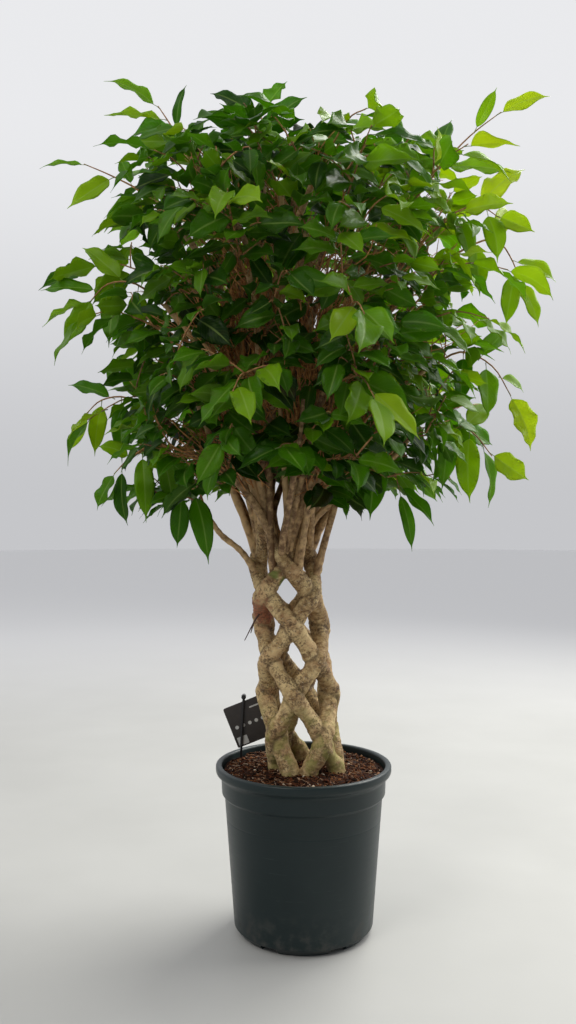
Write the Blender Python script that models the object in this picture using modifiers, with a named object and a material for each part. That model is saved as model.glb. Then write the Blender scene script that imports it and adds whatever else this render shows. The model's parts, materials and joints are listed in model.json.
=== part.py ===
"""Potted weeping fig: a mop of leaves on eight interwoven stems, in a nursery pot.

Metres, +Z up. The origin is the centre of the pot's underside, and the front looks along +Y.
"""

import math
import random
from collections import namedtuple

import bmesh
import bpy
from mathutils import Vector
from mathutils.bvhtree import BVHTree

GAP = 0.0003
SEED = 7

# Pot
POT_HEIGHT = 0.241
POT_STEPS = 30
WALL = 0.0022
LIP_RADIUS = 0.1285
LIP_INNER_RADIUS = 0.1195
LIP_BAND = 0.011
LIP_DROP = 0.018
COLLAR_RADIUS = 0.1205
COLLAR_TAPER = 0.001
COLLAR_FOOT = 0.196
STEP_HEIGHT = 0.004
BODY_TOP_RADIUS = 0.1155
BODY_FOOT_RADIUS = 0.1015
LEDGE_HEIGHT = 0.010
FOOT_RADIUS = 0.0925
FOOT_WIDTH = 0.006
FLOOR_RADIUS = 0.091
FLOOR_BEND = 0.017
FOOT_RECESS = 0.0075
HUB_RADIUS = 0.034
BASE_THICKNESS = 0.0105
NOTCHES = 6
NOTCH_AZIMUTH = 29
NOTCH_SIZE = (0.026, 0.030, 0.0160)

# Soil
SOIL_EDGE_HEIGHT = 0.231
SOIL_CROWN = 0.0045
SOIL_RADIUS = COLLAR_RADIUS - WALL - 2 * GAP
SOIL_RINGS = (0.0, 0.50, 1.0)
HOLE_FLOOR = 0.170
HOLE_SIDES = 8
HOLE_SPARE = 0.0013
HOLE_TOP = 0.370

# Woven stems: heights at which they cross, with the weave's turn and radius there
KNOT_HEIGHTS = (0.236, 0.286, 0.346, 0.397, 0.4455, 0.491, 0.538, 0.590)
KNOT_TURNS = (-12, -9, -6, -7, 2, 2, 0, 0)
KNOT_RADII = (0.046, 0.047, 0.045, 0.045, 0.041, 0.046, 0.039, 0.034)
KNOT_SLACK = 0.0015
TURN_SLACK = 2
STEMS_EACH_WAY = 4
STEP_TURN = 45
FEET_SPREAD = 19
TOP_TURN = 8
WEAVE = 0.0035
STEM_FOOT_RADIUS = 0.0124
STEM_TOP_RADIUS = 0.0108
STEM_GIRTHS = (0.94, 1.10)
SPAN_GIRTH = 0.94
STEM_TOP = 0.625
STEM_SIDES = 5
CURVED_LEVELS = 6
AXIS_FOOT_X = 0.0045
AXIS_LEAN = -0.105

# Branches
BRANCH_RADII = (0.0068, 0.0034)
BRANCH_POINTS = 5
BRANCH_SIDES = 3
BRANCH_FROM = 0.84
BRANCH_STEP = 0.024
BRANCH_LIFT = 1.2
BRANCH_SPLAY = 0.7
BRANCH_PULLS = (0.4, 0.3)
LOW_TIP = 0.65
SPOT_STEPS = 60
LOW_BASE = Vector((-0.070, -0.016, 0.518))
LOW_BRANCH_RADII = (0.0050, 0.0034)

# Leafy sprays
TWIG_RADII = (0.0026, 0.0017)
TWIG_POINTS = 4
TWIG_SIDES = 3
TWIG_SKIP = 0.005
TWIG_PULL = 0.35
TWIG_DROOP = 0.25
TWIG_END = 0.96
STRAIGHT = 0.012
ROOT_SINK = 0.0008
LEAVES_PER_SPRAY = 6
FIRST_LEAF_AT = 0.22
LEAF_SLACK = 0.04
LEAF_THICKNESS = 0.0007
LEAF_LENGTHS = (0.072, 0.092)
LEAF_WIDTH_SHARES = (0.36, 0.44)
LEAF_BENDS = (0.03, 0.08)
LEAF_FOLDS = (0.12, 0.34)
WIDEST_AT = 0.37
SHOULDER_AT, SHOULDER_SHARE = 0.76, 0.50
RIB_AT = 0.52

# How a leaf points: along its twig, outward, down at the crown's foot and top, and how loosely. How it
# faces outward and up
LEAF_AHEAD = 0.7
LEAF_OUTWARD = 0.45
LEAF_FALLS = (1.30, 0.55)
FALL_SLACK = 0.25
END_LEAF_SPREAD = 0.15
AIM_SLACK = (0.3, 1.5)
RING_FACE = (0.95, 0.60)
FACE_SLACK = (0.45, 1.45)
SHOOT_FACE = Vector((0.0, -0.8, 0.6))
SHOOT_FACE_SLACK = (0.35, 1.35)
SHOOT_AIM_SLACK = 0.035

# Room round each leaf and twig, and how often a crowded one is drawn again
CLEARANCE = 0.0014
SHELL_SPARE = 1.3
TWIG_TRIES = 80
TWIG_SLACK = (0.02, 0.12)
LEAF_TRIES = 40

# Rings of sprays: height and radius of the twigs' ends, number, first azimuth, rise from the branch
CROWN_CENTRE_X = -0.012
CROWN_LOW, CROWN_HIGH, CROWN_TOP = 0.60, 1.20, 1.243
RINGS = (
    (1.190, 0.065, 2, 20, 0.120),
    (1.160, 0.190, 5, 34, 0.100),
    (1.080, 0.270, 6, 12, 0.075),
    (0.965, 0.300, 6, 30, 0.040),
    (0.850, 0.295, 6, 0, 0.005),
    (0.725, 0.265, 6, 30, -0.055),
)
RING_SLACK = 0.26
END_REACH = (0.90, 1.08)
END_SLACK = 0.042
START_REACH = (0.42, 0.52)
START_TURN = 6
START_RISE = (0.8, 1.1)
HEADING_LIFT, HEADING_RISE = 0.25, 3.0

# Label
CARD_SIZE = 0.064
CARD_THICKNESS = 0.0009
CARD_CENTRE = (-0.081, 0.056, 0.289)
CARD_ROLL = 21.7
STAKE_RADIUS = 0.0019
STAKE_SIDES = 8
STAKE_HEAD_RADIUS = 0.0036
STAKE_Y = CARD_CENTRE[1] - CARD_THICKNESS / 2 - STAKE_RADIUS - GAP
STAKE_FOOT = (-0.0945, 0.170)
STAKE_BEND_HEIGHT = 0.238
STAKE_HEAD = (-0.0905, 0.3265)
HOOK_REACH = 0.0070
TAB_RADIUS = 0.0015
TAB_DROP = Vector((0.001, 0.0, -0.012))

# Colour and roughness of each material
LOOKS = {
    "pot_plastic": ((0.026, 0.045, 0.045), 0.42),
    "soil_mix": ((0.06, 0.026, 0.014), 0.95),
    "bark": ((0.36, 0.27, 0.17), 0.85),
    "leaf": ((0.035, 0.13, 0.012), 0.38),
    "label_card": ((0.035, 0.027, 0.024), 0.50),
    "stake_plastic": ((0.008, 0.008, 0.009), 0.40),
}

# The reference view, in which the shoots that shape the outline are sketched
EYE = Vector((-0.0228, -1.362, 0.609))
FOCAL = 926
MIDDLE = (288, 512)

Limb = namedtuple("Limb", "name points radii")
Leaf = namedtuple("Leaf", "base tip normal width bend fold")
Spray = namedtuple("Spray", "name twig leaves")
Shoot = namedtuple("Shoot", "name depth twig leaves")

# Shoots of the outline: twig points as seen, then leaves as (share of twig, tip as seen, nearness, width)
SHOOTS = (
    Shoot("upper_right", 0.02, ((404, 214), (439, 169), (470, 136), (501, 112)), (
        (1.00, (550, 96), 0.00, 0.026), (0.76, (497, 87), -0.01, 0.019), (0.60, (410, 141), -0.03, 0.030),
        (0.42, (511, 172), -0.04, 0.033), (0.25, (396, 170), -0.02, 0.030), (0.38, (452, 118), 0.05, 0.028))),
    Shoot("right", -0.03, ((418, 246), (450, 216), (478, 206), (500, 218)), (
        (1.00, (535, 232), -0.02, 0.032), (0.72, (526, 166), 0.02, 0.036), (0.55, (513, 203), -0.05, 0.034),
        (0.40, (432, 186), 0.03, 0.032), (0.85, (497, 262), -0.03, 0.031), (0.50, (470, 262), -0.04, 0.030))),
    Shoot("right_hanging", 0.03, ((432, 272), (468, 247), (496, 240), (513, 262), (519, 284)), (
        (1.00, (539, 327), 0.00, 0.026), (0.88, (506, 327), -0.02, 0.029), (0.80, (557, 281), 0.01, 0.031),
        (0.42, (480, 296), -0.04, 0.030), (0.60, (505, 206), 0.05, 0.026))),
    Shoot("right_low", 0.00, ((424, 372), (460, 352), (492, 366), (511, 396)), (
        (1.00, (531, 451), 0.00, 0.036), (0.80, (524, 392), 0.03, 0.022), (0.62, (488, 418), -0.03, 0.032),
        (0.40, (462, 405), -0.04, 0.030), (0.55, (506, 330), 0.03, 0.028))),
    Shoot("right_skirt", -0.04, ((408, 424), (440, 414), (472, 432), (492, 456)), (
        (1.00, (529, 480), 0.00, 0.034), (0.85, (489, 508), 0.03, 0.028), (0.66, (470, 503), -0.02, 0.034),
        (0.42, (442, 492), 0.02, 0.028), (0.60, (488, 404), 0.04, 0.030), (0.25, (432, 452), -0.05, 0.028))),
    Shoot("drooping", -0.07, ((338, 462), (368, 444), (390, 460), (400, 492)), (
        (1.00, (412, 552), 0.00, 0.018), (0.92, (428, 530), -0.01, 0.021), (0.72, (417, 500), 0.02, 0.017),
        (0.50, (370, 520), -0.03, 0.036), (0.30, (346, 508), 0.03, 0.028))),
    Shoot("upper_left", 0.00, ((168, 214), (142, 192), (112, 176), (84, 164)), (
        (1.00, (39, 167), 0.00, 0.012), (0.66, (67, 208), -0.03, 0.030), (0.46, (121, 158), 0.02, 0.020),
        (0.30, (104, 232), -0.05, 0.032))),
    Shoot("left", -0.02, ((164, 306), (136, 284), (108, 284), (88, 304)), (
        (1.00, (42, 327), 0.00, 0.029), (0.80, (40, 290), 0.02, 0.029), (0.90, (60, 349), -0.03, 0.031),
        (0.50, (82, 246), 0.03, 0.031), (0.62, (108, 346), -0.04, 0.031), (0.35, (132, 336), 0.04, 0.030))),
    Shoot("left_low", 0.03, ((160, 418), (128, 398), (102, 400), (86, 414)), (
        (1.00, (68, 452), 0.00, 0.018), (0.75, (95, 456), -0.03, 0.026), (0.52, (122, 462), -0.05, 0.030),
        (0.60, (68, 384), 0.02, 0.028), (0.32, (118, 356), 0.04, 0.030))),
    Shoot("left_skirt", -0.05, ((184, 452), (156, 444), (130, 458), (114, 474)), (
        (1.00, (96, 510), 0.00, 0.024), (0.86, (127, 526), 0.02, 0.026), (0.70, (97, 446), -0.01, 0.026),
        (0.55, (146, 522), -0.03, 0.028), (0.30, (172, 505), 0.03, 0.028))),
    Shoot("low_branch", -0.05, ((204, 506), (200, 494), (194, 489), (187, 489), (181, 494)), (
        (1.00, (177, 548), 0.00, 0.027), (0.55, (208, 564), -0.03, 0.032))),
    Shoot("top", -0.02, ((262, 186), (258, 152), (262, 128), (261, 112)), (
        (1.00, (287, 81), 0.00, 0.032), (0.90, (210, 92), 0.02, 0.032), (0.72, (306, 96), -0.03, 0.033),
        (0.62, (228, 133), -0.04, 0.032), (0.40, (300, 140), 0.04, 0.034), (0.30, (222, 166), 0.03, 0.032))),
    Shoot("top_left", -0.03, ((206, 180), (186, 150), (170, 124), (158, 106)), (
        (1.00, (104, 79), 0.00, 0.026), (0.80, (104, 115), -0.02, 0.026), (0.62, (186, 84), 0.00, 0.014),
        (0.50, (126, 142), -0.04, 0.030), (0.35, (212, 116), 0.04, 0.028))),
)


def new_collection(name):
    collection = bpy.data.collections.new(name)
    bpy.context.scene.collection.children.link(collection)
    return collection


def clear_scene():
    for obj in list(bpy.data.objects):
        bpy.data.objects.remove(obj)


def material(name):
    colour, roughness = LOOKS[name]
    made = bpy.data.materials.new(name)
    made.use_nodes = True
    shader = made.node_tree.nodes["Principled BSDF"]
    shader.inputs["Base Color"].default_value = (*colour, 1.0)
    shader.inputs["Roughness"].default_value = roughness
    shader.inputs["Metallic"].default_value = 0.0
    return made


def place(obj, collection, look=None):
    """Move an object to one collection and give it its material."""
    for old in list(obj.users_collection):
        old.objects.unlink(obj)
    collection.objects.link(obj)
    if look is not None:
        obj.data.materials.clear()
        obj.data.materials.append(look)
    return obj


def evaluated_mesh(obj):
    """The mesh of an object as its modifiers or bevel leave it."""
    bpy.context.view_layer.update()
    return bpy.data.meshes.new_from_object(obj.evaluated_get(bpy.context.evaluated_depsgraph_get()))


def weld(mesh):
    """Join a bevelled curve's loose caps to its sides."""
    solid = bmesh.new()
    solid.from_mesh(mesh)
    bmesh.ops.remove_doubles(solid, verts=solid.verts, dist=0.00001)
    solid.to_mesh(mesh)
    solid.free()
    return mesh


def polygon_ring(sides):
    """A polygon of unit radius, which gives a bevelled curve its section."""
    curve = bpy.data.curves.new(f"ring_of_{sides}", "CURVE")
    curve.dimensions = "3D"
    spline = curve.splines.new("POLY")
    spline.points.add(sides - 1)
    for index, knot in enumerate(spline.points):
        angle = math.tau * index / sides
        knot.co = (math.cos(angle), -math.sin(angle), 0.0, 1.0)
    spline.use_cyclic_u = True
    ring = bpy.data.objects.new(curve.name, curve)
    bpy.context.scene.collection.objects.link(ring)
    return ring


def tube(name, points, radii, sides):
    """A solid tube along points, as a mesh made from a bevelled curve."""
    curve = bpy.data.curves.new(name, "CURVE")
    curve.dimensions = "3D"
    curve.bevel_mode = "OBJECT"
    curve.bevel_object = polygon_ring(sides)
    curve.use_fill_caps = True
    spline = curve.splines.new("POLY")
    spline.points.add(len(points) - 1)
    for knot, point, radius in zip(spline.points, points, radii):
        knot.co = (*point, 1.0)
        knot.radius = radius
    wire = bpy.data.objects.new(name + "_wire", curve)
    bpy.context.scene.collection.objects.link(wire)
    solid = bpy.data.objects.new(name, weld(evaluated_mesh(wire)))
    bpy.context.scene.collection.objects.link(solid)
    bpy.data.objects.remove(curve.bevel_object)
    bpy.data.objects.remove(wire)
    return solid


def lathe(name, profile, steps):
    """A turned solid: the profile runs down the outer side from the axis and back to the axis."""
    outline = bmesh.new()
    corners = [outline.verts.new((radius, 0.0, height)) for radius, height in profile]
    for first, second in zip(corners, corners[1:]):
        outline.edges.new((first, second))
    mesh = bpy.data.meshes.new(name)
    outline.to_mesh(mesh)
    outline.free()
    turned = bpy.data.objects.new(name, mesh)
    bpy.context.scene.collection.objects.link(turned)
    screw = turned.modifiers.new("turn", "SCREW")
    screw.steps = steps
    screw.render_steps = steps
    screw.use_merge_vertices = True
    screw.merge_threshold = 0.00005
    return turned


def is_closed(mesh):
    """Whether every edge of a mesh has two faces that agree on which way is out."""
    solid = bmesh.new()
    solid.from_mesh(mesh)
    closed = all(edge.is_contiguous for edge in solid.edges)
    solid.free()
    return closed


def fuse(body, pieces):
    """Join pieces to body with one union on their collection, then remove them."""
    group = new_collection(body.name + "_pieces")
    for piece in pieces:
        place(piece, group)
    union = body.modifiers.new("union", "BOOLEAN")
    union.operation = "UNION"
    union.operand_type = "COLLECTION"
    union.collection = group
    joined = evaluated_mesh(body)
    if not is_closed(joined):
        union.solver = "MANIFOLD"
        joined = evaluated_mesh(body)
    body.modifiers.clear()
    body.data = joined
    for piece in pieces:
        bpy.data.objects.remove(piece)
    bpy.data.collections.remove(group)
    return body


def keep_largest_shell(obj):
    """Drop a hollow that fusing sealed, and any loose scrap, which are shells of their own."""
    solid = bmesh.new()
    solid.from_mesh(obj.data)
    unseen = set(solid.faces)
    shells = []
    while unseen:
        found = [unseen.pop()]
        for face in found:
            for edge in face.edges:
                beside = [other for other in edge.link_faces if other in unseen]
                unseen.difference_update(beside)
                found += beside
        shells.append(found)
    shells.sort(key=len)
    bmesh.ops.delete(solid, geom=[face for found in shells[:-1] for face in found], context="FACES")
    solid.to_mesh(obj.data)
    solid.free()


def cut(body, cutters, name):
    """Cut a collection of cutters out of body, and keep them beside it as guides."""
    group = new_collection(name)
    for cutter in cutters:
        place(cutter, group)
        cutter.hide_render = True
        cutter.display_type = "WIRE"
    difference = body.modifiers.new("cut", "BOOLEAN")
    difference.operation = "DIFFERENCE"
    difference.operand_type = "COLLECTION"
    difference.collection = group
    return body


def around(azimuth, radius, height, centre_x=0.0):
    """A point at an azimuth in degrees from the front, turning towards +X."""
    angle = math.radians(azimuth)
    return Vector((centre_x + radius * math.sin(angle), -radius * math.cos(angle), height))


def as_seen(pixel, depth):
    """The point at a depth along +Y that the reference view shows at a pixel."""
    distance = depth - EYE.y
    across = (pixel[0] - MIDDLE[0]) / FOCAL * distance
    down = (pixel[1] - MIDDLE[1]) / FOCAL * distance
    return Vector((EYE.x + across, depth, EYE.z - down))


def bezier(first, second, third, fourth, count):
    """Evenly numbered points along a cubic curve."""
    points = []
    for index in range(count):
        t = index / (count - 1)
        s = 1 - t
        points.append(first * s**3 + second * 3 * s * s * t + third * 3 * s * t * t + fourth * t**3)
    return points


def along(points, share):
    """The point and the direction at a share of a polyline's length."""
    lengths = [(b - a).length for a, b in zip(points, points[1:])]
    left = share * sum(lengths)
    for a, b, length in zip(points, points[1:], lengths):
        if left <= length or b is points[-1]:
            return a.lerp(b, min(left / length, 1.0)), (b - a).normalized()
        left -= length
    return points[-1].copy(), (points[-1] - points[-2]).normalized()


def tapered(radii, count):
    """Radii that change evenly from the first to the last."""
    return [radii[0] + (radii[1] - radii[0]) * index / (count - 1) for index in range(count)]


# Pot and soil


def make_pot(look, collection):
    inner = [
        (0.0, BASE_THICKNESS),
        (FLOOR_RADIUS, BASE_THICKNESS),
        (BODY_FOOT_RADIUS - WALL, FLOOR_BEND),
        (BODY_TOP_RADIUS - WALL, COLLAR_FOOT),
        (COLLAR_RADIUS - WALL, COLLAR_FOOT + STEP_HEIGHT),
        (LIP_INNER_RADIUS, POT_HEIGHT),
    ]
    outer = [
        (LIP_RADIUS, POT_HEIGHT),
        (LIP_RADIUS, POT_HEIGHT - LIP_BAND),
        (COLLAR_RADIUS, POT_HEIGHT - LIP_DROP),
        (COLLAR_RADIUS - COLLAR_TAPER, COLLAR_FOOT + STEP_HEIGHT),
        (BODY_TOP_RADIUS, COLLAR_FOOT),
        (BODY_FOOT_RADIUS, LEDGE_HEIGHT),
        (FOOT_RADIUS, 0.0),
        (FOOT_RADIUS - FOOT_WIDTH, 0.0),
        (FOOT_RADIUS - FOOT_WIDTH - FOOT_RECESS, FOOT_RECESS),
        (HUB_RADIUS + FOOT_RECESS, FOOT_RECESS),
        (HUB_RADIUS, 0.0),
        (0.0, 0.0),
    ]
    pot = lathe("pot", inner + outer, POT_STEPS)
    cutters = []
    for index in range(NOTCHES):
        azimuth = NOTCH_AZIMUTH + 360 * index / NOTCHES
        bpy.ops.mesh.primitive_cube_add(size=1.0, location=around(azimuth, FOOT_RADIUS, 0.0))
        cutter = bpy.context.object
        cutter.name = f"pot_notch_{index}"
        cutter.rotation_euler = (0.0, 0.0, math.radians(azimuth))
        cutter.scale = NOTCH_SIZE
        cutters.append(cutter)
    cut(pot, cutters, "pot_cutters")
    return place(pot, collection, look)


def soil_height(radius):
    """The soil is a low mound round the stems."""
    share = min(radius / SOIL_RADIUS, 1.0)
    return SOIL_EDGE_HEIGHT + SOIL_CROWN * (1 - share * share)


def make_soil(look, collection, stems):
    rings = [SOIL_RADIUS * share for share in SOIL_RINGS]
    profile = [(radius, soil_height(radius)) for radius in rings]
    profile += [
        (BODY_TOP_RADIUS - WALL - 2 * GAP, COLLAR_FOOT - GAP),
        (BODY_FOOT_RADIUS - WALL - 2 * GAP, FLOOR_BEND + GAP),
        (FLOOR_RADIUS - GAP, BASE_THICKNESS + GAP),
        (0.0, BASE_THICKNESS + GAP),
    ]
    soil = lathe("soil", profile, POT_STEPS)
    cutters = []
    for index, stem in enumerate(stems):
        centre = (stem.points[0].x, stem.points[0].y)
        cutters.append(hole_cutter(f"soil_hole_{index}", centre, HOLE_FLOOR, STEM_FOOT_RADIUS + HOLE_SPARE))
    centre = (STAKE_FOOT[0], STAKE_Y)
    cutters.append(hole_cutter("soil_stake_hole", centre, STAKE_FOOT[1] - GAP, STAKE_RADIUS + 2 * GAP))
    cut(soil, cutters, "soil_cutters")
    return place(soil, collection, look)


def hole_cutter(name, centre, floor, radius):
    depth = HOLE_TOP - floor
    bpy.ops.mesh.primitive_cylinder_add(
        vertices=HOLE_SIDES, radius=radius, depth=depth, location=(*centre, floor + depth / 2))
    bpy.context.object.name = name
    return bpy.context.object


# Woven stems and branches


def stem_radius(height):
    share = (height - KNOT_HEIGHTS[0]) / (STEM_TOP - KNOT_HEIGHTS[0])
    return STEM_FOOT_RADIUS + (STEM_TOP_RADIUS - STEM_FOOT_RADIUS) * share


def stem_path(rng, name, way, start):
    """The centre-line of one woven stem, which turns one way and passes over and under the others."""
    girth = rng.uniform(*STEM_GIRTHS)
    knots = []
    for level, height in enumerate(KNOT_HEIGHTS):
        turn = start + way * STEP_TURN * level + KNOT_TURNS[level] + rng.uniform(-TURN_SLACK, TURN_SLACK)
        if level == 0:
            turn += way * FEET_SPREAD
        lift = WEAVE * (way if level % 2 else -way)
        radius = KNOT_RADII[level] + lift + rng.uniform(-KNOT_SLACK, KNOT_SLACK)
        knots.append((turn, radius, height, AXIS_FOOT_X + AXIS_LEAN * (height - KNOT_HEIGHTS[0])))
    foot = around(*knots[0])
    points = [Vector((foot.x, foot.y, HOLE_FLOOR + GAP))]
    radii = [STEM_FOOT_RADIUS]
    for level, knot in enumerate(knots):
        points.append(around(*knot))
        radii.append(stem_radius(knot[2]) * girth if level else STEM_FOOT_RADIUS)
        if level < CURVED_LEVELS:
            halfway = [(a + b) / 2 for a, b in zip(knot, knots[level + 1])]
            points.append(around(*halfway))
            radii.append(stem_radius(halfway[2]) * girth * SPAN_GIRTH)
    turn, radius, _, centre_x = knots[-1]
    points.append(around(turn + way * TOP_TURN, radius, STEM_TOP, centre_x))
    radii.append(STEM_TOP_RADIUS)
    return Limb(name, points, radii)


def stem_paths():
    """Centre-lines of the woven stems, half of them turning each way."""
    rng = random.Random(SEED)
    stems = []
    for way in (1, -1):
        for index in range(STEMS_EACH_WAY):
            stems.append(stem_path(rng, f"stem_{len(stems)}", way, 360 * index / STEMS_EACH_WAY))
    return stems


def shoot_starts():
    """Start of each sketched shoot's twig, and its heading there."""
    starts = []
    for shoot in SHOOTS:
        first, second = [as_seen(pixel, shoot.depth) for pixel in shoot.twig[:2]]
        starts.append((first, (second - first).normalized()))
    return starts


def ring_aims():
    """Start, heading there and end of each twig of the rings."""
    rng = random.Random(SEED + 1)
    aims = []
    for height, radius, count, first, rise in RINGS:
        for index in range(count):
            azimuth = first + 360 * (index + rng.uniform(-RING_SLACK, RING_SLACK)) / count
            end = around(azimuth, radius * rng.uniform(*END_REACH),
                         height + rng.uniform(-END_SLACK, END_SLACK), CROWN_CENTRE_X)
            start = around(azimuth + rng.uniform(-START_TURN, START_TURN), radius * rng.uniform(*START_REACH),
                           height - rise * rng.uniform(*START_RISE), CROWN_CENTRE_X)
            heading = around(azimuth, 1.0, HEADING_LIFT + HEADING_RISE * rise).normalized()
            aims.append((start, heading, end))
    return aims


def azimuth_of(point):
    return math.atan2(point.x - CROWN_CENTRE_X, -point.y)


def branch_path(name, stem, share, tip, heading, radii=BRANCH_RADII):
    """A branch from a share of a stem's length to a tip, where it heads straight into its twig."""
    base, away = along(stem.points, share)
    outward = Vector((base.x - CROWN_CENTRE_X, base.y, 0.0)).normalized()
    away = (away + Vector((0, 0, BRANCH_LIFT)) + outward * BRANCH_SPLAY).normalized()
    neck = tip - heading * STRAIGHT
    reach = (tip - base).length
    first_pull, last_pull = [reach * pull for pull in BRANCH_PULLS]
    points = bezier(base, base + away * first_pull, neck - heading * last_pull, neck, BRANCH_POINTS - 1)
    return Limb(name, points + [tip], tapered(radii, BRANCH_POINTS))


def branch_paths(stems, targets):
    """One branch to each target, from the stem whose top faces it. A low one starts lower down."""
    low = [index for index, (tip, _) in enumerate(targets) if tip.z < LOW_TIP]
    order = [index for index in range(len(targets)) if index not in low]
    order.sort(key=lambda index: azimuth_of(targets[index][0]))
    tops = sorted(stems, key=lambda stem: azimuth_of(stem.points[-2]))
    per_stem = len(order) / len(tops)
    branches = []
    for number, stem in enumerate(tops):
        mine = order[round(number * per_stem):round((number + 1) * per_stem)]
        mine.sort(key=lambda index: targets[index][0].z)
        for rank, index in enumerate(mine):
            share = BRANCH_FROM + BRANCH_STEP * rank
            branches.append(branch_path(f"branch_{index:02d}", stem, share, *targets[index]))
    for index in low:
        stem, share = nearest_spot(stems, LOW_BASE)
        branches.append(branch_path(f"branch_{index:02d}", stem, share, *targets[index], LOW_BRANCH_RADII))
    return branches


def nearest_spot(stems, point):
    """The stem that passes closest to a point, and the share of its length there."""
    spots = [(stem, step / SPOT_STEPS) for stem in stems for step in range(SPOT_STEPS)]
    return min(spots, key=lambda spot: (along(spot[0].points, spot[1])[0] - point).length)


# Leaves and sprays


def leaf_point(leaf, t, across):
    """A point of a leaf's sheet: t from root to tip, and metres across from the midrib."""
    chord = leaf.tip - leaf.base
    side = chord.cross(leaf.normal).normalized()
    up = side.cross(chord).normalized()
    arch = leaf.bend * chord.length * 4 * t * (1 - t)
    return leaf.base + chord * t + side * across + up * (arch + leaf.fold * abs(across))


def leaf_outline(leaf, margin=0.0):
    """Points round a leaf, with the rib's point last."""
    wide = leaf.width / 2 + margin
    shoulder = leaf.width / 2 * SHOULDER_SHARE + margin
    spots = [(0.0, 0.0), (WIDEST_AT, -wide), (SHOULDER_AT, -shoulder), (1.0, 0.0),
             (SHOULDER_AT, shoulder), (WIDEST_AT, wide), (RIB_AT, 0.0)]
    return [leaf_point(leaf, t, across) for t, across in spots]


def leaf_shell(leaf):
    """Two sheets just outside a leaf's faces, to test what it would touch."""
    points = leaf_outline(leaf, CLEARANCE)
    chord = leaf.tip - leaf.base
    up = chord.cross(leaf.normal).cross(chord).normalized()
    rib = len(points) - 1
    verts, faces = [], []
    for lift in (CLEARANCE, -CLEARANCE - LEAF_THICKNESS):
        first = len(verts)
        verts += [point + up * lift for point in points]
        faces += [(first + rib, first + i, first + (i + 1) % rib) for i in range(rib)]
    return shell(verts, faces)


def limb_shell(points, radii, skip=0.0):
    """A three-sided tube round a limb, to test what touches it."""
    if skip:
        start = points[0] + (points[1] - points[0]).normalized() * skip
        points = [start] + points[1:]
    verts, faces = [], []
    for index, (point, radius) in enumerate(zip(points, radii)):
        near = points[min(index + 1, len(points) - 1)] - points[max(index - 1, 0)]
        side = near.cross(Vector((0.3, 0.5, 0.8))).normalized()
        other = near.cross(side).normalized()
        for corner in range(3):
            angle = math.tau * corner / 3
            reach = (radius + CLEARANCE) * SHELL_SPARE
            verts.append(point + (side * math.cos(angle) + other * math.sin(angle)) * reach)
        if index:
            low, high = 3 * index - 3, 3 * index
            for corner in range(3):
                after = (corner + 1) % 3
                faces.append((low + corner, low + after, high + after, high + corner))
    return shell(verts, faces)


def shell(verts, faces):
    middle = sum(verts, Vector()) / len(verts)
    reach = max((vert - middle).length for vert in verts)
    return middle, reach, BVHTree.FromPolygons(verts, faces)


def is_clear(shape, crowd):
    middle, reach, tree = shape
    for other_middle, other_reach, other_tree in crowd:
        if (middle - other_middle).length < reach + other_reach and tree.overlap(other_tree):
            return False
    return True


def leaf_towards(rng, base, tip, width, normal):
    root = base - (tip - base).normalized() * ROOT_SINK
    return Leaf(root, tip, normal, width, rng.uniform(*LEAF_BENDS), rng.uniform(*LEAF_FOLDS))


def try_leaf(crowd, draw):
    """The first of several drawn leaves that touches nothing, or None. Each is drawn more loosely."""
    for attempt in range(LEAF_TRIES):
        leaf = draw(attempt / LEAF_TRIES)
        shape = leaf_shell(leaf)
        if leaf.tip.z < CROWN_TOP and is_clear(shape, crowd):
            crowd.append(shape)
            return leaf
    return None


def jitter(rng, amount):
    return Vector([rng.uniform(-amount, amount) for _ in range(3)])


def widened(slack, loose):
    """A slack that grows from its first to its second value."""
    return slack[0] + (slack[1] - slack[0]) * loose


def grow_shoot(rng, crowd, shoot, start, heading):
    """A spray that is sketched in the reference view."""
    twig = [as_seen(pixel, shoot.depth) for pixel in shoot.twig]
    twig[0] = start + heading * GAP
    leaves = []
    for share, pixel, nearness, width in shoot.leaves:
        base = along(twig, min(share, TWIG_END))[0]
        tip = as_seen(pixel, shoot.depth + nearness)

        def draw(loose, base=base, tip=tip, width=width):
            normal = SHOOT_FACE + jitter(rng, widened(SHOOT_FACE_SLACK, loose))
            return leaf_towards(rng, base, tip + jitter(rng, SHOOT_AIM_SLACK * loose), width, normal)

        leaves.append(try_leaf(crowd, draw))
    crowd.append(limb_shell(twig, tapered(TWIG_RADII, len(twig)), TWIG_SKIP))
    return Spray(shoot.name, twig, [leaf for leaf in leaves if leaf])


def ring_twig(rng, crowd, start, heading, end):
    """An arching twig towards end that touches nothing, if one is found, and its shape."""
    first = start + heading * GAP
    neck = first + heading * STRAIGHT
    reach = (end - start).length
    for attempt in range(TWIG_TRIES):
        aim = end + jitter(rng, widened(TWIG_SLACK, attempt / TWIG_TRIES))
        over = aim + Vector((0, 0, reach * TWIG_DROOP))
        twig = [first] + bezier(neck, neck + heading * reach * TWIG_PULL, over, aim, TWIG_POINTS - 1)
        shape = limb_shell(twig, tapered(TWIG_RADII, TWIG_POINTS), TWIG_SKIP)
        if is_clear(shape, crowd):
            break
    return twig, shape


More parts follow.
